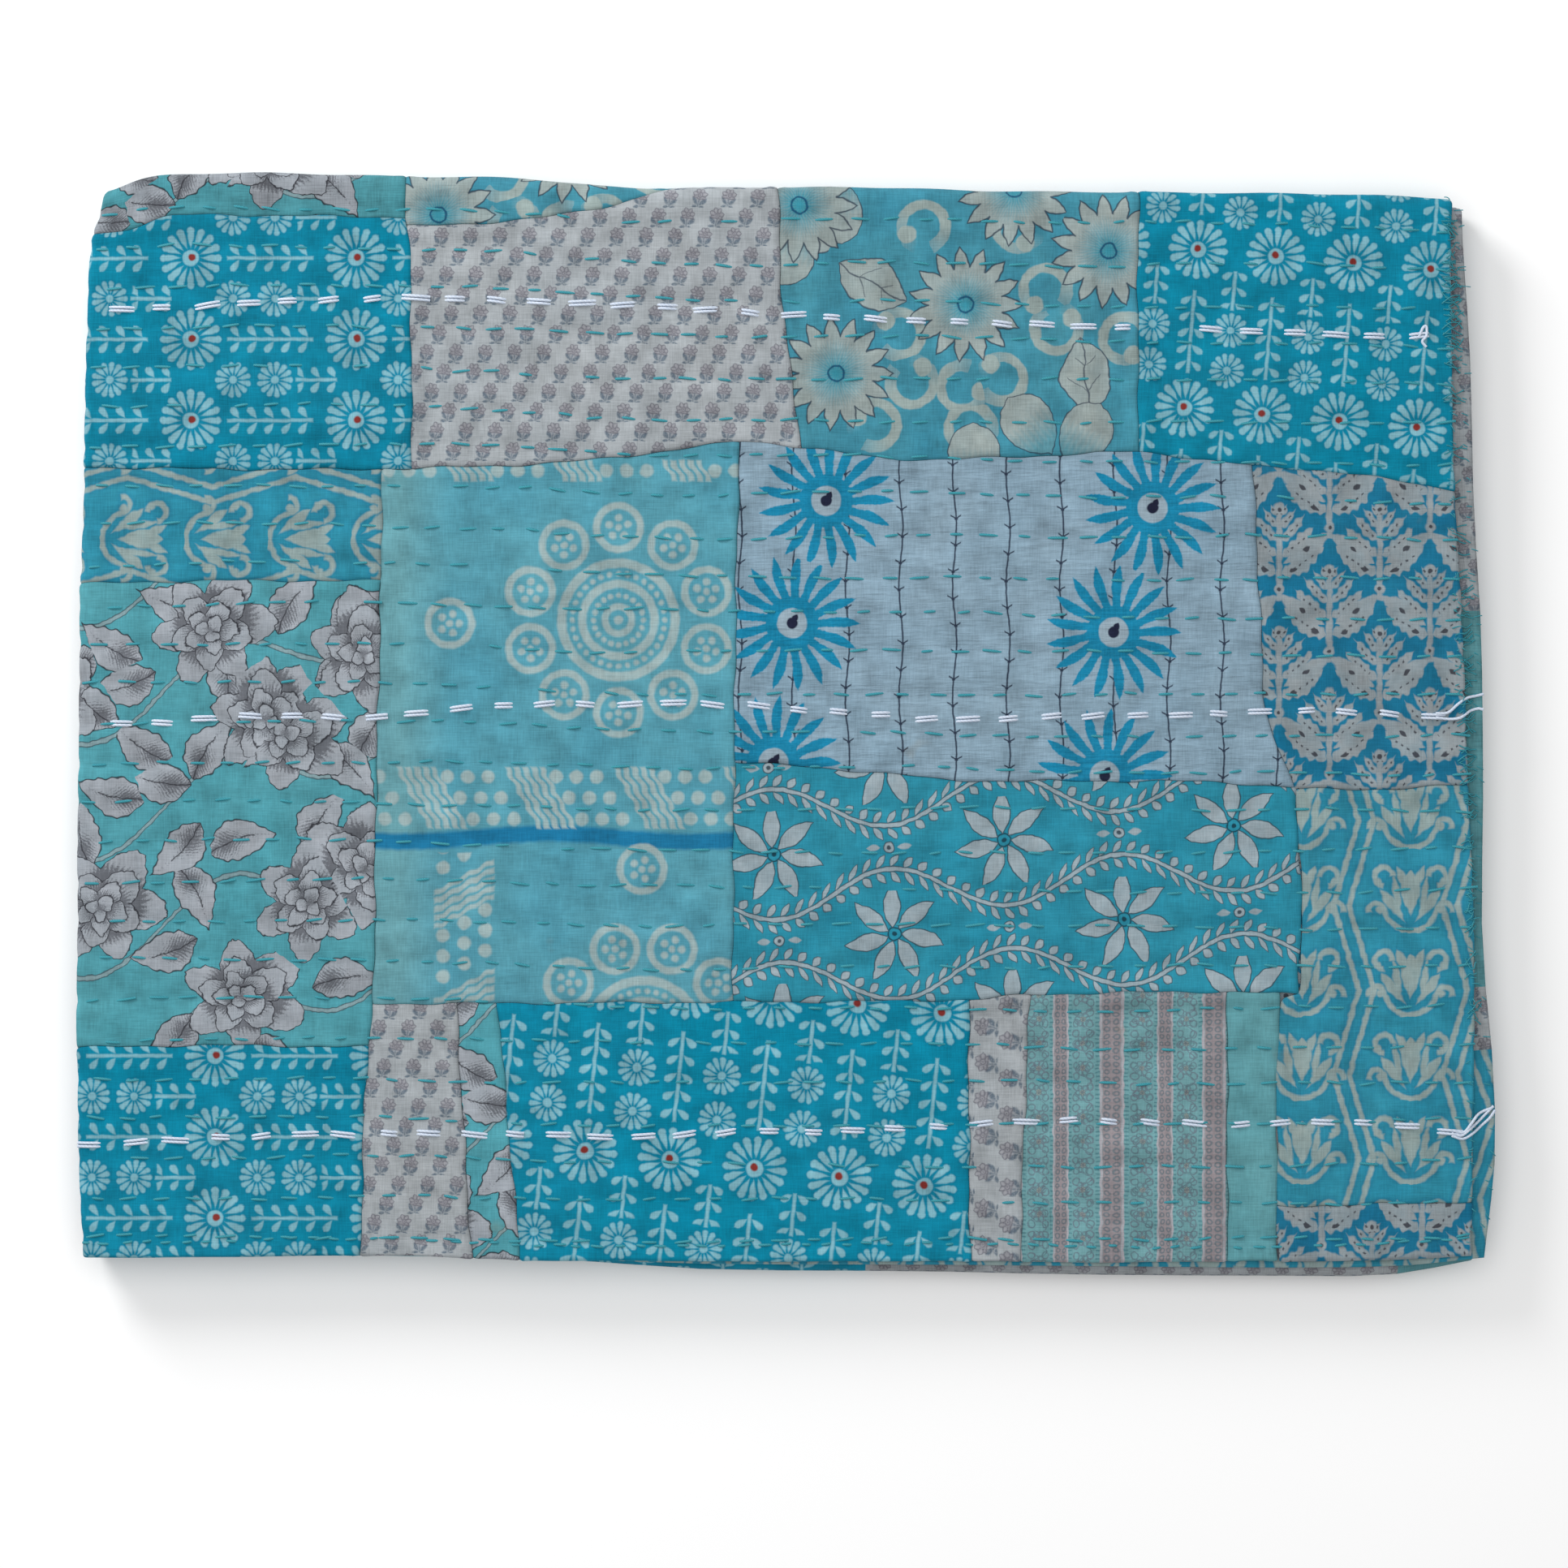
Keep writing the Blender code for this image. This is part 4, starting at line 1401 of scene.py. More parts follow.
# painted shade: the body's bud cotton and its teal, the plain aqua print, get a lower tone, for the strips
# and rims at the sides, which lie in shadow
BODY_MATERIALS = {
    "daisy": cotton("body_daisy_cotton", "daisy", turn=90),
    "bud": cotton("body_bud_cotton", "bud", tone=0.43),
    "vine": cotton("body_vine_cotton", "vine"),
    "peony": cotton("body_peony_cotton", "peony"),
    "tulip": cotton("body_tulip_cotton", "tulip"),
    "ring": cotton("body_ring_cotton", "ring"),
    "tree": cotton("body_tree_cotton", "tree"),
    "plain": cotton("body_aqua_cotton", "plain"),
    "teal": cotton("body_teal_cotton", "plain", tone=0.4),
}
print("the body has", len(BODY_MATERIALS), "cottons")

# %% [markdown]
# ## Sewing the body together
#
# Two grids of points, the outer side and the inner side of the cloth, are joined by a strip
# round their rim into one closed mesh. A UV map keeps the place of every point on the cloth
# laid flat, so that the prints follow the folds without stretching.

# %% Build the body
FLAT_TURN = 0.01  # the share of a panel's depth that one radian of a turn takes up


def build_object(name, points, faces, materials, uvs=None, picks=None):
    """A mesh object at the origin, smooth, with its cloth map and its materials."""
    mesh = bpy.data.meshes.new(name)
    mesh.from_pydata([tuple(p) for p in points], [], faces)
    for material in materials:
        mesh.materials.append(material)
    if picks is not None:
        mesh.polygons.foreach_set("material_index", picks)
    if uvs is not None:
        layer = mesh.uv_layers.new(name=CLOTH_MAP)
        corners = np.empty(len(mesh.loops), dtype=np.int32)
        mesh.loops.foreach_get("vertex_index", corners)
        layer.uv.foreach_set("vector", np.asarray(uvs, np.float32)[corners].ravel())
    mesh.shade_smooth()
    mesh.update()
    made = bpy.data.objects.new(name, mesh)
    scene.collection.objects.link(made)
    return made


def grid_faces(across, along, start=0, flip=False):
    """The four-sided faces of a grid of points that runs across first."""
    faces = []
    for j in range(along - 1):
        for i in range(across - 1):
            a = start + j * across + i
            face = (a, a + 1, a + 1 + across, a + across)
            faces.append(face[::-1] if flip else face)
    return faces


def make_body():
    across, along = len(columns), len(rows)
    count = across * along
    points = [body_row(columns, row, side) for side in (1, -1) for row in rows]
    kind, share, angle, _ = columns.T
    flat_x = np.where(kind > 0, share * WIDTH, -share * WIDTH) - (kind <= 0) * angle * PLY_MIDDLE
    flat_y = [(row[0] + row[1] + max(row[2], 0) * FLAT_TURN) * DEPTH for row in rows]
    uvs = [np.stack([flat_x, np.full(across, y)], axis=-1) for _ in (1, -1) for y in flat_y]
    faces = grid_faces(across, along, flip=True) + grid_faces(across, along, start=count)
    keys = list(BODY_MATERIALS)
    picks = []
    for side in (1, -1):
        for j in range(along - 1):
            middle = (sum(rows[j][:2]) + sum(rows[j + 1][:2])) / 2
            for i in range(across - 1):
                at = (share[i] + share[i + 1]) / 2
                lean = kind[i] if kind[i] != 0 else kind[i + 1]
                picks.append(keys.index(body_cotton(lean, at, middle, side)))
    ring = list(range(across)) + [j * across + across - 1 for j in range(1, along)]
    ring += [(along - 1) * across + i for i in range(across - 2, -1, -1)]
    ring += [j * across for j in range(along - 2, 0, -1)]
    for a, b in zip(ring, ring[1:] + ring[:1]):
        faces.append((a, b, b + count, a + count))
        picks.append(keys.index("teal"))
    return build_object(
        "quilt_body", np.concatenate(points), faces, BODY_MATERIALS.values(), np.concatenate(uvs), picks
    )


body = make_body()
print("the body has", len(body.data.polygons), "faces")

# %% [markdown]
# ## Where the seams run
#
# The face is cut up by seams that are only roughly straight. Each seam is a smooth curve
# through a few places, given as pixels of the photograph because that is where they were
# measured. Seams that run across are read at an x, seams that run up at a y.

# %% Seams of the face
SEAMS_ACROSS = {
    "strip": ((95, 283), (150, 281), (215, 266), (350, 266), (500, 268)),
    "sunflower_low": (
        (500, 280), (646, 271), (745, 255), (788, 243), (830, 228), (960, 215)
    ),
    "upper": (
        (95, 575), (300, 578), (508, 577), (712, 568), (878, 548), (918, 544), (987, 551),
        (1112, 566), (1371, 558), (1404, 557), (1543, 574), (1640, 581), (1800, 605),
    ),
    "tulip_low": ((90, 720), (250, 716), (470, 716)),
    "peony_low": ((90, 1291), (250, 1288), (470, 1290)),
    "middle_low": (
        (440, 1237), (905, 1235), (1193, 1232), (1265, 1226), (1512, 1222), (1610, 1226)
    ),
    "pale_low": (
        (900, 938), (1096, 953), (1168, 961), (1479, 963), (1593, 970), (1620, 972)
    ),
    "leaf_low": ((1590, 972), (1700, 972), (1830, 966)),
    "leaf_corner": ((1560, 1487), (1700, 1484), (1830, 1480)),
}
SEAMS_UP = {
    "daisy_right": ((180, 500), (268, 501), (330, 506), (578, 508)),
    "bud_right": ((180, 957), (380, 965), (551, 988)),
    "sunflower_right": ((180, 1404), (400, 1402), (557, 1404)),
    "left_column": (
        (570, 471), (720, 469), (1000, 463), (1237, 460), (1290, 454), (1400, 448), (1560, 445)
    ),
    "ring_right": ((540, 912), (700, 908), (940, 905), (1237, 903)),
    "pale_right": ((570, 1543), (734, 1552), (877, 1561), (972, 1594)),
    "vine_right": ((965, 1596), (1100, 1603), (1228, 1600)),
    "leaf_left": ((965, 1596), (1100, 1603), (1222, 1600), (1232, 1578), (1400, 1573), (1560, 1575)),
    "bud_strip_right": ((1230, 562), (1400, 572), (1560, 582)),
    "flower_strip_right": ((1230, 613), (1400, 628), (1560, 642)),
    "low_daisy_right": ((1228, 1194), (1400, 1194), (1575, 1196)),
    "low_bud_right": ((1220, 1270), (1400, 1262), (1575, 1257)),
    "stripe_right": ((1215, 1512), (1575, 1512)),
    "aqua_right": ((1215, 1577), (1400, 1573), (1575, 1575)),
}
FOLD_WRAP, TURN_WRAP, HEM_WRAP = 8.3 * MM, 18.6 * MM, 3.4 * MM - HEM_RADIUS


def wobble(at, phase):
    """How unevenly a seam is sewn."""
    return 0.55 * MM * np.sin(at / 0.0113 + phase) + 0.35 * MM * np.sin(at / 0.0047 + 2 * phase)


def seam_x(name, cx, cy):
    """The x of an upright seam, or of the left fold or right hem, level with some places."""
    if name == "fold":
        return face_limits(cx, cy)[0] - FOLD_WRAP
    if name == "hem":
        return face_limits(cx, cy)[1] + HEM_WRAP
    places = SEAMS_UP[name][::-1]
    x = curve_through([cloth_y(y) for y, _ in places], [cloth_x(x) for _, x in places], cy)
    return x + wobble(cy, len(name))


def seam_y(name, cx, cy):
    """The y of a seam across, or of the near hem or far turn, level with some places."""
    if name == "hem":
        return face_limits(cx, cy)[2] - HEM_WRAP
    if name == "turn":
        return face_limits(cx, cy)[3] + TURN_WRAP
    places = SEAMS_ACROSS[name]
    y = curve_through([cloth_x(x) for x, _ in places], [cloth_y(y) for _, y in places], cx)
    return y + wobble(cx, len(name))


print(len(SEAMS_ACROSS) + len(SEAMS_UP), "seams")

# %% [markdown]
# ## The patches
#
# The face is cut from eleven old cottons. The table gives each patch the seams on its four
# sides, its cotton, the pixel of the photograph where its drawing starts, the drawing's turn
# in degrees, and its layer, where a higher one is sewn on top. Some also have a size for the
# drawing and a tone, which sets how bright their cloth is.

# %% Table of the patches
Patch = namedtuple(
    "Patch", "name left right near far cotton middle turn layer size tone",
    defaults=(1.0, WASHED_TONE),
)
PATCHES = (
    Patch("far_peony", "fold", "daisy_right", "strip", "turn", "peony", (330, 190), 0, 0, tone=0.4),
    Patch("far_left_daisy", "fold", "daisy_right", "upper", "strip", "daisy", (235, 418), 0, 1, tone=0.49),
    Patch(
        "far_sunflower_strip", "daisy_right", "bud_right", "sunflower_low", "turn", "sunflower",
        (700, 180), 0, 0, tone=0.46,
    ),
    Patch("far_bud", "daisy_right", "bud_right", "upper", "sunflower_low", "bud", (700, 400), 0, 1),
    Patch(
        "far_sunflower", "bud_right", "sunflower_right", "upper", "turn", "sunflower",
        (1190, 375), 0, 0, tone=0.46,
    ),
    Patch(
        "far_right_daisy", "sunflower_right", "hem", "upper", "turn", "daisy",
        (1572, 316), 85, 1, size=0.96,
    ),
    Patch("left_tulip", "fold", "left_column", "tulip_low", "upper", "tulip", (183, 594), -90, 0, tone=0.49),
    Patch(
        "left_peony", "fold", "left_column", "peony_low", "tulip_low", "peony",
        (350, 905), 0, 1, tone=0.49,
    ),
    Patch("middle_rings", "left_column", "ring_right", "middle_low", "upper", "ring", (762, 764), 0, 0),
    Patch("middle_rays", "ring_right", "pale_right", "pale_low", "upper", "ray", (1018, 617), 0, 2),
    Patch("right_trees", "pale_right", "hem", "leaf_low", "upper", "tree", (1638, 712), 0, 1),
    Patch("middle_vines", "ring_right", "vine_right", "middle_low", "pale_low", "vine", (1237, 1035), 0, 1),
    Patch("right_tulip", "leaf_left", "hem", "leaf_corner", "leaf_low", "tulip", (1668, 1090), 0, 0),
    Patch("near_left_daisy", "fold", "left_column", "hem", "peony_low", "daisy", (265, 1401), 0, 0),
    Patch("near_bud", "left_column", "bud_strip_right", "hem", "middle_low", "bud", (500, 1400), 0, 1),
    Patch(
        "near_peony", "bud_strip_right", "flower_strip_right", "hem", "middle_low", "peony",
        (750, 1300), 0, 0,
    ),
    Patch(
        "near_daisy", "flower_strip_right", "low_daisy_right", "hem", "middle_low", "daisy",
        (930, 1440), 84, 1, size=1.05, tone=0.55,
    ),
    Patch(
        "near_small_bud", "low_daisy_right", "low_bud_right", "hem", "middle_low", "bud",
        (1230, 1400), 90, 0, size=1.25,
    ),
    Patch("near_stripes", "low_bud_right", "stripe_right", "hem", "middle_low", "stripe", (1307, 1400), 0, 1),
    Patch("near_aqua", "stripe_right", "aqua_right", "hem", "middle_low", "plain", (1545, 1400), 0, 0),
    Patch("near_trees", "leaf_left", "hem", "hem", "leaf_corner", "tree", (1690, 1520), 0, 1),
)
print(len(PATCHES), "patches in the table")

# %% [markdown]
# ## How a patch lies
#
# Near a seam a patch rolls down into the groove, and just inside it the cloth turned in
# underneath lifts it a little and puckers. Patches on the left fold and the far turn run on
# round the bend, and those at a hem wrap its edge, as the print does on the real quilt.
# `face_lift` answers for the whole face, so that stitches can lie on any patch.

# %% Heights of a patch
LAYER_LIFT, FIRST_LAYER = 0.3 * MM, 0.6
CLOTH_STEP = 2.3 * MM
TURN_IN = 3 * MM  # cloth turned in at each edge of a patch
GROOVE, GROOVE_WIDTH = 0.42 * MM, 0.8 * MM
TURN_IN_RISE, TURN_IN_TOP, TURN_IN_WIDTH = 0.22 * MM, 3.2 * MM, 2.4 * MM
SEAM_PUCKER = 0.13 * MM
SEAM_SHADE_WIDTH = 1.5 * MM
RIMS = {"fold": (FOLD_WRAP, 9), "turn": (TURN_WRAP, 14), "hem": (HEM_WRAP + HEM_RADIUS * 1.5, 9)}
SEAM_RIM = (1.6 * MM, 4)  # as in RIMS, how far an edge reaches in and its number of stations


def stations(length, start, end):
    """Shares of a length, with more of them near an edge that rolls in or wraps round."""

    def rim(kind):
        return np.linspace(0, *RIMS.get(kind, SEAM_RIM))

    first, last = rim(start), length - rim(end)[::-1]
    steps = max(2, round((last[0] - first[-1]) / CLOTH_STEP))
    middle = np.linspace(first[-1], last[0], steps + 1)[1:-1]
    return np.concatenate([first, middle, last]) / length


def rolled_edge(distance):
    """The height of a patch beside a seam: down into the groove, then up over the turn-in."""
    rise = TURN_IN_RISE * bell(distance - TURN_IN_TOP, TURN_IN_WIDTH)
    return rise - GROOVE * bell(distance, GROOVE_WIDTH)


def from_seams(patch, distances):
    """Of the distances to a patch's four sides, those to seams."""
    sides = zip((patch.left, patch.right, patch.near, patch.far), distances)
    return [distance for edge, distance in sides if edge not in RIMS]


def sewn_lift(patch, cx, cy, distances):
    """A patch's own height: its layer, and its rolled and puckered edge at each seam."""
    lift = LAYER_LIFT * (patch.layer + FIRST_LAYER)
    pucker = SEAM_PUCKER * (1 + np.sin((cx + cy) / 0.0017) * np.sin((cx - cy) / 0.0061))
    for distance in from_seams(patch, distances):
        lift = lift + rolled_edge(distance) + pucker * bell(distance - TURN_IN, TURN_IN)
    return lift


def seam_shade(patch, distances):
    """How dark a patch is painted by its seams, from 0 to 1: painted shadow, with a little dust."""
    shades = [bell(distance, SEAM_SHADE_WIDTH) for distance in from_seams(patch, distances)]
    return np.maximum.reduce(shades)


def face_lift(cx, cy):
    """How high the patched face lies at some places, whichever patch they are on."""
    lift = np.full(np.shape(cx), LAYER_LIFT * FIRST_LAYER)
    for patch in PATCHES:
        distances = (
            cx - seam_x(patch.left, cx, cy), seam_x(patch.right, cx, cy) - cx,
            cy - seam_y(patch.near, cx, cy), seam_y(patch.far, cx, cy) - cy,
        )
        inside = np.minimum.reduce(distances) >= 0
        lift = np.where(inside, sewn_lift(patch, cx, cy, distances), lift)
    return relief(cx, cy) + lift


print("the face at its middle lies", float(face_lift(0.0, 0.0).round(5)), "above the body")

# %% [markdown]
# ## Making the patches
#
# A patch starts as a grid of places between its four seams. The seams lean, so the grid is
# fitted to them in a few passes. Each place is lifted to its height, and Solidify gives the
# cotton its thickness, which makes a closed sheet. Cutting one big cloth with booleans would
# be slower, and its prints couldn't be turned one by one.

# %% Make the patches
COTTON_THICK = 0.4 * MM
FITTING_PASSES = 8


def patch_grid(patch, u, v):
    """The places in plan of a patch's grid, and its four sides level with them."""
    cx, cy = np.zeros((len(v), len(u))), np.zeros((len(v), len(u)))
    for _ in range(FITTING_PASSES):
        left_x, right_x = seam_x(patch.left, cx, cy), seam_x(patch.right, cx, cy)
        near_y, far_y = seam_y(patch.near, cx, cy), seam_y(patch.far, cx, cy)
        cx = left_x + u[None, :] * (right_x - left_x)
        cy = near_y + v[:, None] * (far_y - near_y)
    return cx, cy, (left_x, right_x, near_y, far_y)


def make_patch(patch):
    rough = np.linspace(0, 1, 5)
    _, _, (left_x, right_x, near_y, far_y) = patch_grid(patch, rough, rough)
    width, length = float((right_x - left_x).mean()), float((far_y - near_y).mean())
    u = stations(width, patch.left, patch.right)
    v = stations(length, patch.near, patch.far)
    cx, cy, (left_x, right_x, near_y, far_y) = patch_grid(patch, u, v)
    distances = (cx - left_x, right_x - cx, cy - near_y, far_y - cy)
    lift = relief(cx, cy) + sewn_lift(patch, cx, cy, distances)
    points = face_point(cx, cy, lift).reshape(-1, 3)
    uvs = np.stack([cx, cy], axis=-1).reshape(-1, 2)
    material = cotton(
        patch.name + "_cotton", patch.cotton, patch.middle, patch.turn,
        size=patch.size, crinkle=CRINKLED if patch.cotton == "ray" else SMOOTH, tone=patch.tone,
    )
    made = build_object(patch.name, points, grid_faces(len(u), len(v)), [material], uvs)
    # painted shadow, with a little dust, by the seams of the patch
    shade = made.data.attributes.new(SEAM_SHADE, "FLOAT", "POINT")
    shade.data.foreach_set("value", seam_shade(patch, distances).ravel())
    shell = made.modifiers.new("cotton thickness", "SOLIDIFY")
    shell.thickness, shell.offset = COTTON_THICK, -1
    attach(made, "root")
    return made


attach(body, "root")
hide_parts("quilt")
patches = [make_patch(patch) for patch in PATCHES]
print(len(patches), "patches with", sum(len(p.data.polygons) for p in patches), "faces")

# %% [markdown]
# ## A machine for stitches
#
# There are over a thousand stitches, so they are made with Geometry Nodes: a path is cut into
# equal steps, and on each step stands one stitch, a short bowed thread whose two ends dive
# into the cloth. The tree's named inputs are the sizes that differ from one kind of sewing to
# another, so the same tree sews the quilting, the basting and the overcast hems.

# %% Inputs of the stitch tree
STITCH_INPUTS = {
    "Geometry": "NodeSocketGeometry",
    "Pitch": "NodeSocketFloat",
    "Stitch Length": "NodeSocketFloat",
    "Thread Radius": "NodeSocketFloat",
    "Bow": "NodeSocketFloat",
    "Sink": "NodeSocketFloat",
    "Slant": "NodeSocketFloat",
    "Looseness": "NodeSocketFloat",
    "Strands": "NodeSocketInt",
    "Strand Gap": "NodeSocketFloat",
    "Kept": "NodeSocketFloat",
    "Seed": "NodeSocketInt",
    "Material": "NodeSocketMaterial",
}
STITCH_DEFAULTS = {
    "Pitch": STITCH_PITCH, "Stitch Length": 8.4 * MM, "Thread Radius": 0.75 * MM,
    "Bow": 0.3 * MM, "Sink": 0.55 * MM, "Slant": 0.0, "Looseness": 1.0,
    "Strands": 1, "Strand Gap": 1.0 * MM, "Kept": 0.95, "Seed": 3,
}


def vector_of(tree, x=0.0, y=0.0, z=0.0):
    return add_node(tree, "ShaderNodeCombineXYZ", X=x, Y=y, Z=z).outputs[0]


def spread(tree, reach, seed, centre=0.0):
    """A random number for each stitch, within reach of a centre."""
    node = add_node(
        tree, "FunctionNodeRandomValue", {"data_type": "FLOAT"},
        in_2=centre - reach, in_3=centre + reach, in_8=seed,
    )
    return Ink(tree, node.outputs[1])


print(len(STITCH_INPUTS), "inputs for a stitch")

# %% [markdown]
# ## The stitch tree
#
# First one stitch is made from an arc and a small circle, then doubled if it is basting. The
# path is cut into steps, each step is turned along the path, and lean, place and length vary
# a little from a fixed seed, because the sewing is by hand. A few stitches are left out, as
# worn ones are. Realize Instances at the end makes them one real mesh.

# %% Stitch node tree
LEAN_SPREAD = 0.16  # radians
SHIFT_ALONG, SHIFT_ACROSS = 1.6 * MM, 0.6 * MM
LENGTH_SPREAD = 0.26
ARC_STEPS, THREAD_SIDES = 7, 6


def stitch_tree():
    tree = bpy.data.node_groups.new("hand stitches", "GeometryNodeTree")
    for name, kind in STITCH_INPUTS.items():
        tree.interface.new_socket(name, in_out="INPUT", socket_type=kind)
    tree.interface.new_socket("Geometry", in_out="OUTPUT", socket_type="NodeSocketGeometry")
    given = tree.nodes.new("NodeGroupInput").outputs
    length = Ink(tree, given["Stitch Length"])
    sink, bow = Ink(tree, given["Sink"]), Ink(tree, given["Bow"])
    loose, seed = Ink(tree, given["Looseness"]), Ink(tree, given["Seed"])
    strands, gap = Ink(tree, given["Strands"]), Ink(tree, given["Strand Gap"])

    arc = add_node(
        tree, "GeometryNodeCurveQuadraticBezier", Resolution=ARC_STEPS,
        Start=vector_of(tree, x=length * -0.5, z=-sink),
        Middle=vector_of(tree, z=bow * 2.0 + sink),
        End=vector_of(tree, x=length * 0.5, z=-sink),
    )
    ring = add_node(
        tree, "GeometryNodeCurvePrimitiveCircle", Resolution=THREAD_SIDES, Radius=given["Thread Radius"]
    )
    strand = add_node(
        tree, "GeometryNodeCurveToMesh", Curve=arc.outputs[0],
        Profile_Curve=ring.outputs[0], Fill_Caps=True,
    )
    side_by_side = add_node(
        tree, "GeometryNodeMeshLine", Count=given["Strands"],
        Start_Location=vector_of(tree, y=gap * (strands - 1.0) * -0.5),
        Offset=vector_of(tree, y=gap),
    )
    stitch = add_node(
        tree, "GeometryNodeInstanceOnPoints", Points=side_by_side.outputs[0], Instance=strand.outputs[0]
    )

    path = add_node(tree, "GeometryNodeMeshToCurve", Mesh=given["Geometry"])
    steps = add_node(
        tree, "GeometryNodeResampleCurve", {"mode": "LENGTH"}, Curve=path.outputs[0], Length=given["Pitch"]
    )
    tangent = tree.nodes.new("GeometryNodeInputTangent")
    along = add_node(
        tree, "FunctionNodeAlignRotationToVector", {"axis": "X", "pivot_axis": "AUTO"},
        Vector=tangent.outputs[0],
    )
    lean = vector_of(tree, z=spread(tree, LEAN_SPREAD, seed) * loose + Ink(tree, given["Slant"]))
    lean = add_node(tree, "FunctionNodeEulerToRotation", Euler=lean)
    leaned = add_node(
        tree, "FunctionNodeRotateRotation", {"rotation_space": "LOCAL"},
        Rotation=along.outputs[0], Rotate_By=lean.outputs[0],
    )
    shift = vector_of(
        tree,
        x=spread(tree, SHIFT_ALONG, seed + 1) * loose,
        y=spread(tree, SHIFT_ACROSS, seed + 2) * loose,
    )
    shift = add_node(tree, "FunctionNodeRotateVector", Vector=shift, Rotation=along.outputs[0])
    moved = add_node(
        tree, "GeometryNodeSetPosition", Geometry=steps.outputs[0], Offset=shift.outputs[0]
    )
    kept = add_node(
        tree, "FunctionNodeRandomValue", {"data_type": "BOOLEAN"}, Probability=given["Kept"], in_8=seed + 3
    )
    sewn = add_node(
        tree, "GeometryNodeInstanceOnPoints", Points=moved.outputs[0], Selection=kept.outputs[3],
        Instance=stitch.outputs[0], Rotation=leaned.outputs[0],
        Scale=vector_of(tree, x=spread(tree, LENGTH_SPREAD, seed + 4, centre=1.0), y=1.0, z=1.0),
    )
    solid = add_node(tree, "GeometryNodeRealizeInstances", Geometry=sewn.outputs[0])
    dyed = add_node(
        tree, "GeometryNodeSetMaterial", Geometry=solid.outputs[0], Material=given["Material"]
    )
    add_node(tree, "NodeGroupOutput", Geometry=dyed.outputs[0])
    return tree


STITCHES = stitch_tree()
print("stitch tree has", len(STITCHES.nodes), "nodes")

# %% [markdown]
# ## Sewing along a path
#
# A path is a row of points that already lie on the patches. `sew` gives it the stitch tree as
# a modifier, sets the inputs, and keeps the result as a plain mesh, which needs no nodes.

# %% Sew along paths


def finish_thread(made):
    """What every finished thread piece needs before the end."""
    made.data.shade_smooth()
    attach(made, "root")
    return made


def sew(name, paths, material, slot_name, **sizes):
    """Sew stitches along some paths and keep them as one plain mesh."""
    points = np.concatenate(paths)
    edges, start = [], 0
    for path in paths:
        edges += [(i, i + 1) for i in range(start, start + len(path) - 1)]
        start += len(path)
    mesh = bpy.data.meshes.new(name + "_path")
    mesh.from_pydata([tuple(p) for p in points], edges, [])
    guide = bpy.data.objects.new(name + "_path", mesh)
    scene.collection.objects.link(guide)
    modifier = guide.modifiers.new("stitches", "NODES")
    modifier.node_group = STITCHES
    wanted = dict(STITCH_DEFAULTS, Material=material)
    wanted.update({key.replace("_", " "): size for key, size in sizes.items()})
    for item in STITCHES.interface.items_tree:
        if item.in_out == "INPUT" and item.name in wanted:
            modifier[item.identifier] = wanted[item.name]
    guide.update_tag()
    depsgraph = bpy.context.evaluated_depsgraph_get()
    sewn_mesh = bpy.data.meshes.new_from_object(guide.evaluated_get(depsgraph))
    bpy.data.objects.remove(guide, do_unlink=True)
    made = bpy.data.objects.new(name, sewn_mesh)
    scene.collection.objects.link(made)
    print(name, "has", len(sewn_mesh.polygons), "faces")
    return finish_thread(made)


print("stitches of", STITCH_DEFAULTS["Stitch Length"], "m, one every", STITCH_PITCH, "m")

# %% [markdown]
# ## Quilting
#
# The quilting runs in rows about 22 mm apart from fold to hem, in a fine sea-green thread. A
# second, closer row holds the near hem. Each path starts a little differently, so stitches of
# neighbouring rows don't line up.

# %% Quilting stitches
PATH_STEP = 2.5 * MM
FROM_FOLD, FROM_HEM, NEAR_FROM_HEM = 4 * MM, 12 * MM, 16 * MM
EDGE_CLEARANCE = 3 * MM
NEAR_HEM_INSET, NEAR_HEM_WANDER = 8.5 * MM, 0.9 * MM
NEXT_START = 0.37  # how much further on each row starts, as a share of a stitch's step


def row_path(row):
    """A quilting row on the patches, from near the fold to near the hem."""
    start = -WIDTH / 2 + FROM_FOLD + STITCH_PITCH * ((NEXT_START * row) % 1)
    cx = np.arange(start, WIDTH / 2 - FROM_HEM, PATH_STEP)
    cy = row_y(row, cx)
    fold, hem = face_limits(cx, cy)[:2]
    on_face = (cx > fold + EDGE_CLEARANCE) & (cx < hem - EDGE_CLEARANCE)
    cx, cy = cx[on_face], cy[on_face]
    return face_point(cx, cy, face_lift(cx, cy))


def near_hem_path():
    """The row that holds the near hem, a little inside it."""
    cx = np.arange(-WIDTH / 2 + FROM_FOLD, WIDTH / 2 - NEAR_FROM_HEM, PATH_STEP)
    hem_y = face_limits(cx, np.full_like(cx, -DEPTH / 2))[2]
    cy = hem_y + NEAR_HEM_INSET + NEAR_HEM_WANDER * np.sin(cx / 0.05)
    return face_point(cx, cy, face_lift(cx, cy))


sew(
    "quilting_rows", [row_path(row) for row in range(QUILTING_ROWS)], TEAL_THREAD, "quilting_thread"
)
sew(
    "near_hem_stitches", [near_hem_path()], TEAL_THREAD, "quilting_thread",
    Pitch=11 * MM, Stitch_Length=5 * MM, Seed=11,
)

# %% [markdown]
# ## Overcast hems
#
# The open hems at the right are whipped over with short slanting stitches. The path lies
# where the hem starts to roll, and the stitches stand almost across it. The lower hem, which
# peeps out beyond the top one, has its own row.

# %% Overcast stitches
OVERCAST_INSET, LOWER_INSET = 1.1 * MM, 2.9 * MM


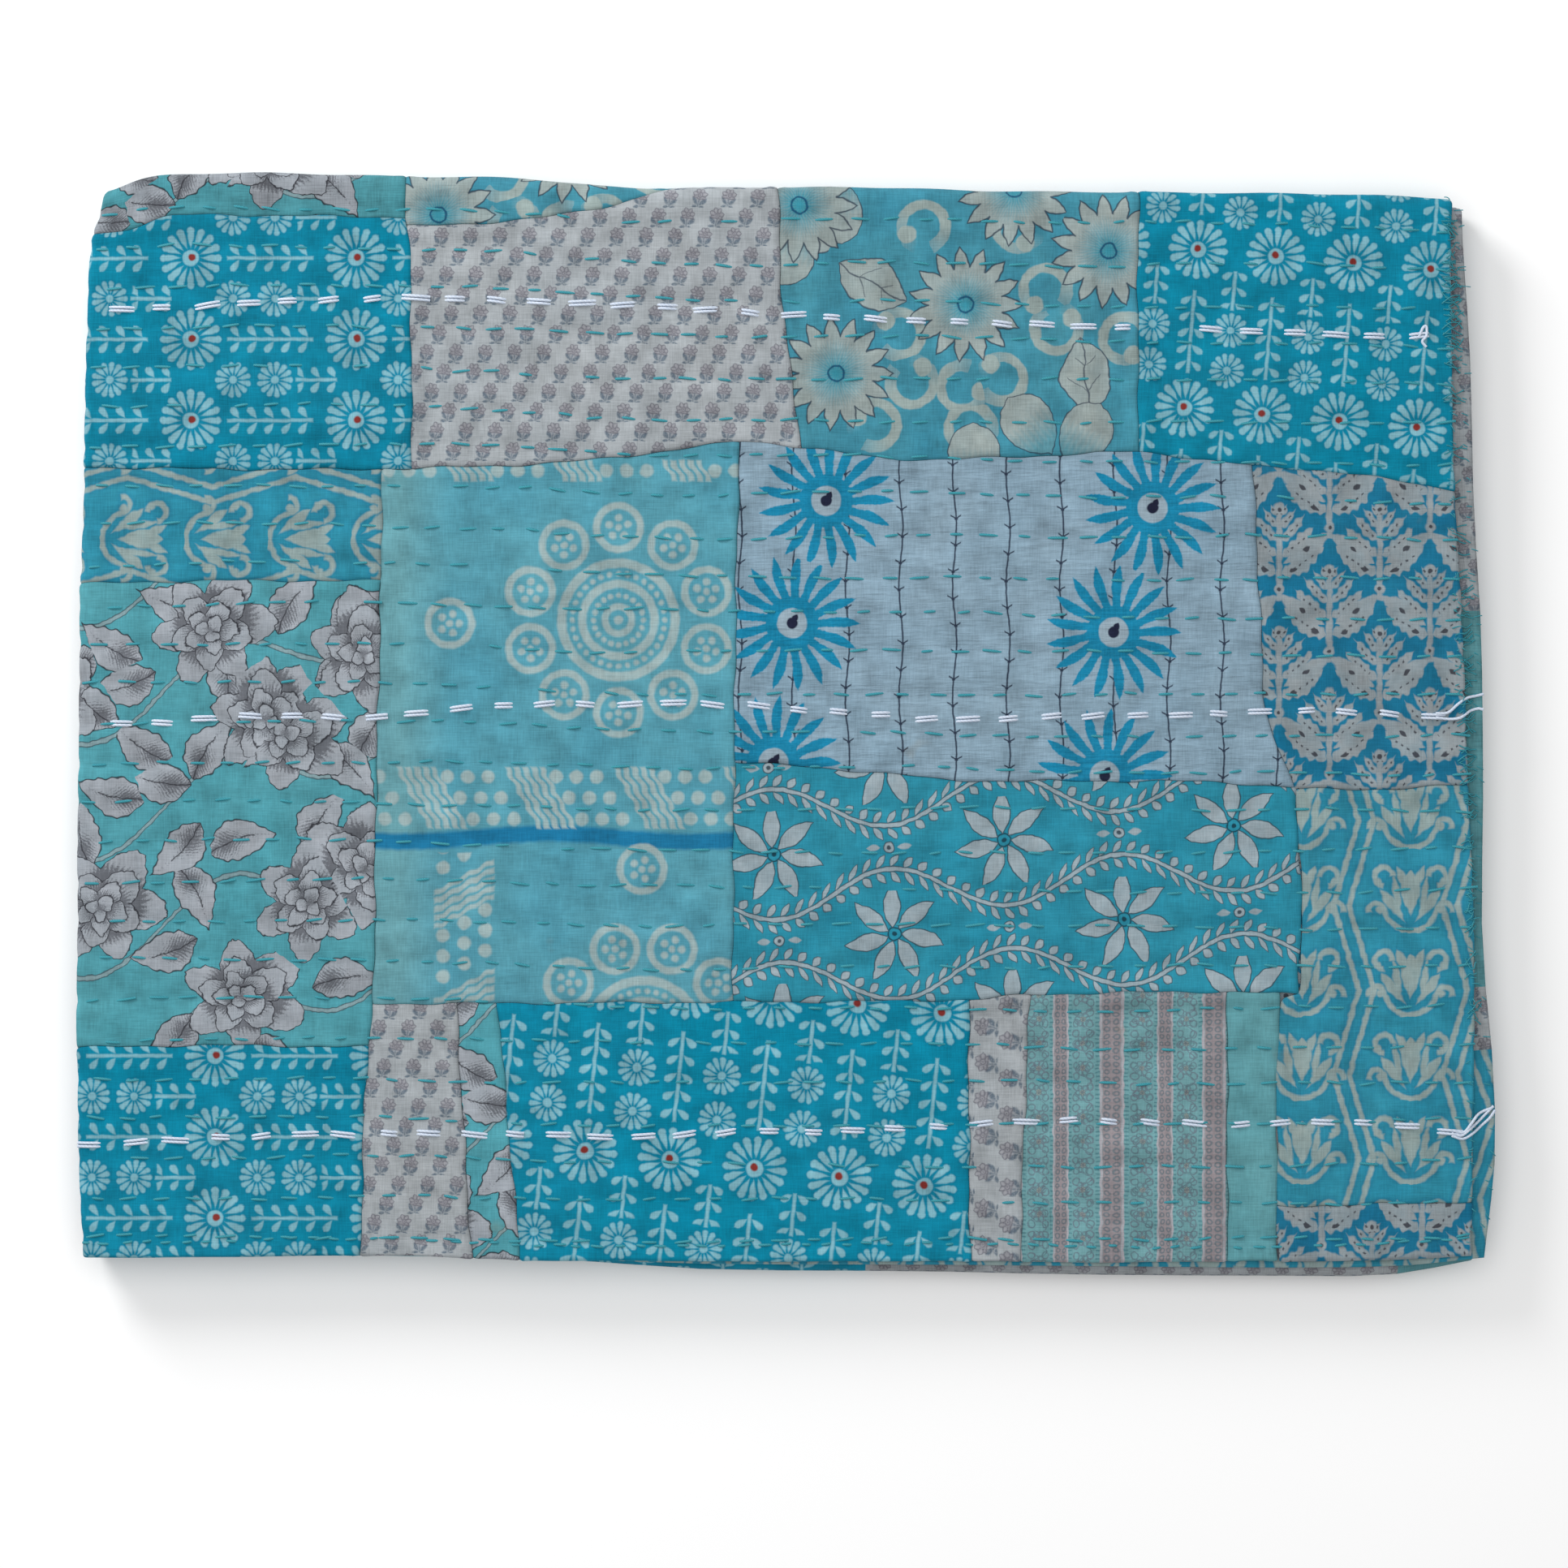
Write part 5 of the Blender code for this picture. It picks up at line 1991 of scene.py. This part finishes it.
def overcast_path():
    cy = np.arange(-DEPTH / 2 + 14 * MM, DEPTH / 2 - 8 * MM, PATH_STEP)
    hem_x = face_limits(np.full_like(cy, WIDTH / 2), cy)[1]
    cx = hem_x - OVERCAST_INSET + 0.5 * MM * np.sin(cy / 0.023)
    return face_point(cx, cy, face_lift(cx, cy))


def strip_point(cx, cy, lift=0.0):
    """A place on the reverse side that shows beyond the top hem."""
    return settle(cx, cy, TOP_LEVEL - PLY_MIDDLE + HEM_RADIUS + lift)


def lower_hem_x(cy):
    return WIDTH / 2 - read_row(SIDES, "back", (cy + DEPTH / 2) / DEPTH)


def lower_overcast_path():
    cy = np.arange(-DEPTH / 2 + 18 * MM, DEPTH / 2 - 14 * MM, PATH_STEP)
    return strip_point(lower_hem_x(cy) - LOWER_INSET, cy)


sew(
    "overcast_hem", [overcast_path()], TEAL_THREAD, "quilting_thread",
    Pitch=5.2 * MM, Stitch_Length=4.4 * MM, Slant=1.15, Bow=0.35 * MM, Sink=0.9 * MM,
    Thread_Radius=0.26 * MM, Looseness=2.4, Kept=0.8, Seed=23,
)
sew(
    "lower_overcast_hem", [lower_overcast_path()], TEAL_THREAD, "quilting_thread",
    Pitch=7.5 * MM, Stitch_Length=4.2 * MM, Slant=1.2, Bow=0.3 * MM, Sink=0.6 * MM,
    Thread_Radius=0.26 * MM, Looseness=2.6, Kept=0.7, Seed=31,
)

# %% [markdown]
# ## Basting
#
# Three long rows of white double thread still hold the layers together, as they did while the
# quilt was being stitched. They lie over everything else, so their path is raised a little.
# Their routes wander, so each is a smooth curve through a few pixels of the photograph.

# %% Basting rows
BASTING_LIFT = 0.15 * MM
BASTING_ROWS = (
    ((150, 381), (230, 378), (300, 374), (460, 368), (700, 373), (885, 382), (985, 388),
     (1210, 398), (1405, 403), (1535, 408), (1725, 416), (1752, 414)),
    ((150, 892), (230, 888), (300, 882), (455, 883), (590, 871), (770, 867), (900, 868),
     (1030, 877), (1190, 887), (1310, 882), (1480, 880), (1600, 875), (1766, 882)),
    ((112, 1410), (180, 1406), (260, 1402), (420, 1397), (600, 1397), (797, 1400), (910, 1394),
     (1044, 1394), (1180, 1386), (1317, 1381), (1500, 1385), (1670, 1382), (1785, 1395)),
)


def basting_path(places):
    xs, ys = zip(*places)
    cx = np.arange(float(cloth_x(xs[0])), float(cloth_x(xs[-1])), PATH_STEP)
    cy = curve_through(cloth_x(xs), cloth_y(ys), cx)
    return face_point(cx, cy, face_lift(cx, cy) + BASTING_LIFT)


sew(
    "basting_rows", [basting_path(places) for places in BASTING_ROWS], WHITE_THREAD, "basting_thread",
    Pitch=22.4 * MM, Stitch_Length=12.5 * MM, Thread_Radius=0.8 * MM, Bow=0.5 * MM, Sink=1.0 * MM,
    Strands=2, Strand_Gap=1.85 * MM, Looseness=0.8, Kept=0.98, Seed=8,
)

# %% [markdown]
# ## Loose threads
#
# The basting ends and the frayed edges are free thread. Each is a thin tube swept along its
# own route, which is a smooth curve through a few places on the face, over the top hem and on
# the strip below it. Curves with a bevel would do as well, but tubes made here are closed at
# both ends and come out as one mesh.

# %% Helpers for loose threads
FALL_LENGTH = 5 * MM  # how far past the top hem a thread takes to come down to the strip
ROUTE_POINTS = 8  # for each place that a route goes through


def smooth_route(places, count):
    """A smooth curve through a few places in space, given by count points."""
    places = np.asarray(places, float)
    steps = np.linspace(0, 1, len(places))
    at = np.linspace(0, 1, count)
    return np.stack([curve_through(steps, places[:, axis], at) for axis in range(3)], axis=-1)


def thread_tubes(name, routes, material, radius, sides):
    """One mesh of closed thin tubes along some routes."""
    points, faces = [], []
    for route in routes:
        run = np.gradient(route, axis=0)
        run /= np.linalg.norm(run, axis=1, keepdims=True)
        across = np.cross(run, (0.13, 0.21, 0.97))
        across /= np.linalg.norm(across, axis=1, keepdims=True)
        up = np.cross(across, run)
        start = sum(len(part) for part in points)
        for i, middle in enumerate(route):
            angles = math.tau * np.arange(sides) / sides
            round_it = np.outer(np.cos(angles), across[i]) + np.outer(np.sin(angles), up[i])
            points.append(middle + radius * round_it)
        for i in range(len(route) - 1):
            for k in range(sides):
                a, b = start + i * sides + k, start + i * sides + (k + 1) % sides
                faces.append((a, a + sides, b + sides, b))
        faces.append(tuple(start + k for k in range(sides)))
        last = start + (len(route) - 1) * sides
        faces.append(tuple(last + k for k in reversed(range(sides))))
    made = build_object(name, np.concatenate(points), faces, [material])
    return finish_thread(made)


def over_hem_route(places, lift):
    """A tail that runs on the face, over the hem and across the strip, by pixels."""
    found = []
    for px, py in places:
        cx, cy = cloth_x(px), cloth_y(py)
        hem = float(face_limits(cx, cy)[1])
        if cx < hem - HEM_RADIUS:
            found.append(face_point(cx, cy, face_lift(cx, cy) + lift))
        else:
            fallen = min((float(cx) - hem + HEM_RADIUS) / FALL_LENGTH, 1.0)
            fall = (1 - fallen) * (PLY_MIDDLE + HALF_PAIR - HEM_RADIUS) + lift
            found.append(strip_point(cx, cy, fall))
    return smooth_route(found, ROUTE_POINTS * len(found))


print("a loose thread comes down over", FALL_LENGTH, "m")

# %% [markdown]
# ## Tails of the basting
#
# Two basting rows end in loose tails that run off the hem at the right, and the third in a
# small loop. They are few and easy to see, so each route is listed one by one, in pixels of
# the photograph.

# %% Basting tails
TAIL_RADIUS, TAIL_LIFT = 0.78 * MM, 0.7 * MM
TAILS = (
    ((1769, 879), (1784, 878), (1796, 868), (1808, 860), (1821, 857), (1829, 855)),
    ((1769, 884), (1786, 886), (1800, 884), (1812, 876), (1822, 873), (1829, 874)),
    ((1788, 1396), (1800, 1399), (1811, 1391), (1822, 1382), (1833, 1371), (1841, 1363)),
    ((1788, 1399), (1802, 1403), (1815, 1396), (1826, 1387), (1836, 1378), (1843, 1368)),
    ((1790, 1393), (1803, 1395), (1812, 1385), (1821, 1374), (1829, 1369), (1838, 1366)),
    ((1748, 415), (1753, 404), (1757, 403), (1757, 414), (1752, 421), (1757, 428)),
)
thread_tubes(
    "basting_tails", [over_hem_route(tail, TAIL_LIFT) for tail in TAILS],
    WHITE_THREAD, radius=TAIL_RADIUS, sides=6,
)
print(len(TAILS), "tails")

# %% [markdown]
# ## Frayed edge
#
# Along the far two thirds of the top hem the cloth has worn into a fringe of single threads.
# They are many and alike, so their routes are drawn at random, from a fixed seed. The table
# says where along the hem they lie and how many there are.

# %% Frayed threads
random = np.random.default_rng(17)
FRAY_RADIUS = 0.34 * MM
FRAY_START, FRAY_REACH = (3, 13), (8, 30)  # pixels before and past the top hem
FRAY_MARGIN, FRAY_UNEVEN = 7, 8  # pixels that a fray keeps from the lower hem
FRAY_LEAN, FRAY_BEND = 16, 1.6
FRAY_LIFTS = (0.3, 0.7)  # millimetres
BY_THE_HEM = 1800  # a pixel close enough to the hem to ask where it runs


def fray_route(py, reach, lean):
    """A short loose thread from the face over the top hem and across the strip, by pixels."""
    cy = cloth_y(py)
    hem = PHOTO_MIDDLE_X + float(face_limits(cloth_x(BY_THE_HEM), cy)[1]) / PHOTO_PIXEL
    last = PHOTO_MIDDLE_X + float(lower_hem_x(cy)) / PHOTO_PIXEL - FRAY_MARGIN
    end = min(hem + reach, last - random.uniform(0, FRAY_UNEVEN))
    start = hem - random.uniform(*FRAY_START)
    shares = (0, 0.4, 0.7, 1)
    bends = random.normal(0, FRAY_BEND, len(shares))
    places = [(start + t * (end - start), py + lean * t + bend) for t, bend in zip(shares, bends)]
    return over_hem_route(places, random.uniform(*FRAY_LIFTS) * MM)


FRAYED = ((268, 450, 60), (450, 700, 14), (700, 1190, 84), (1190, 1260, 6))  # from, to, how many
frays = [
    fray_route(
        random.uniform(first, last), random.uniform(*FRAY_REACH), random.uniform(-FRAY_LEAN, FRAY_LEAN)
    )
    for first, last, count in FRAYED
    for _ in range(count)
]
thread_tubes(
    "frayed_threads", frays, TEAL_THREAD, radius=FRAY_RADIUS, sides=4
)
print(len(frays), "frayed threads")
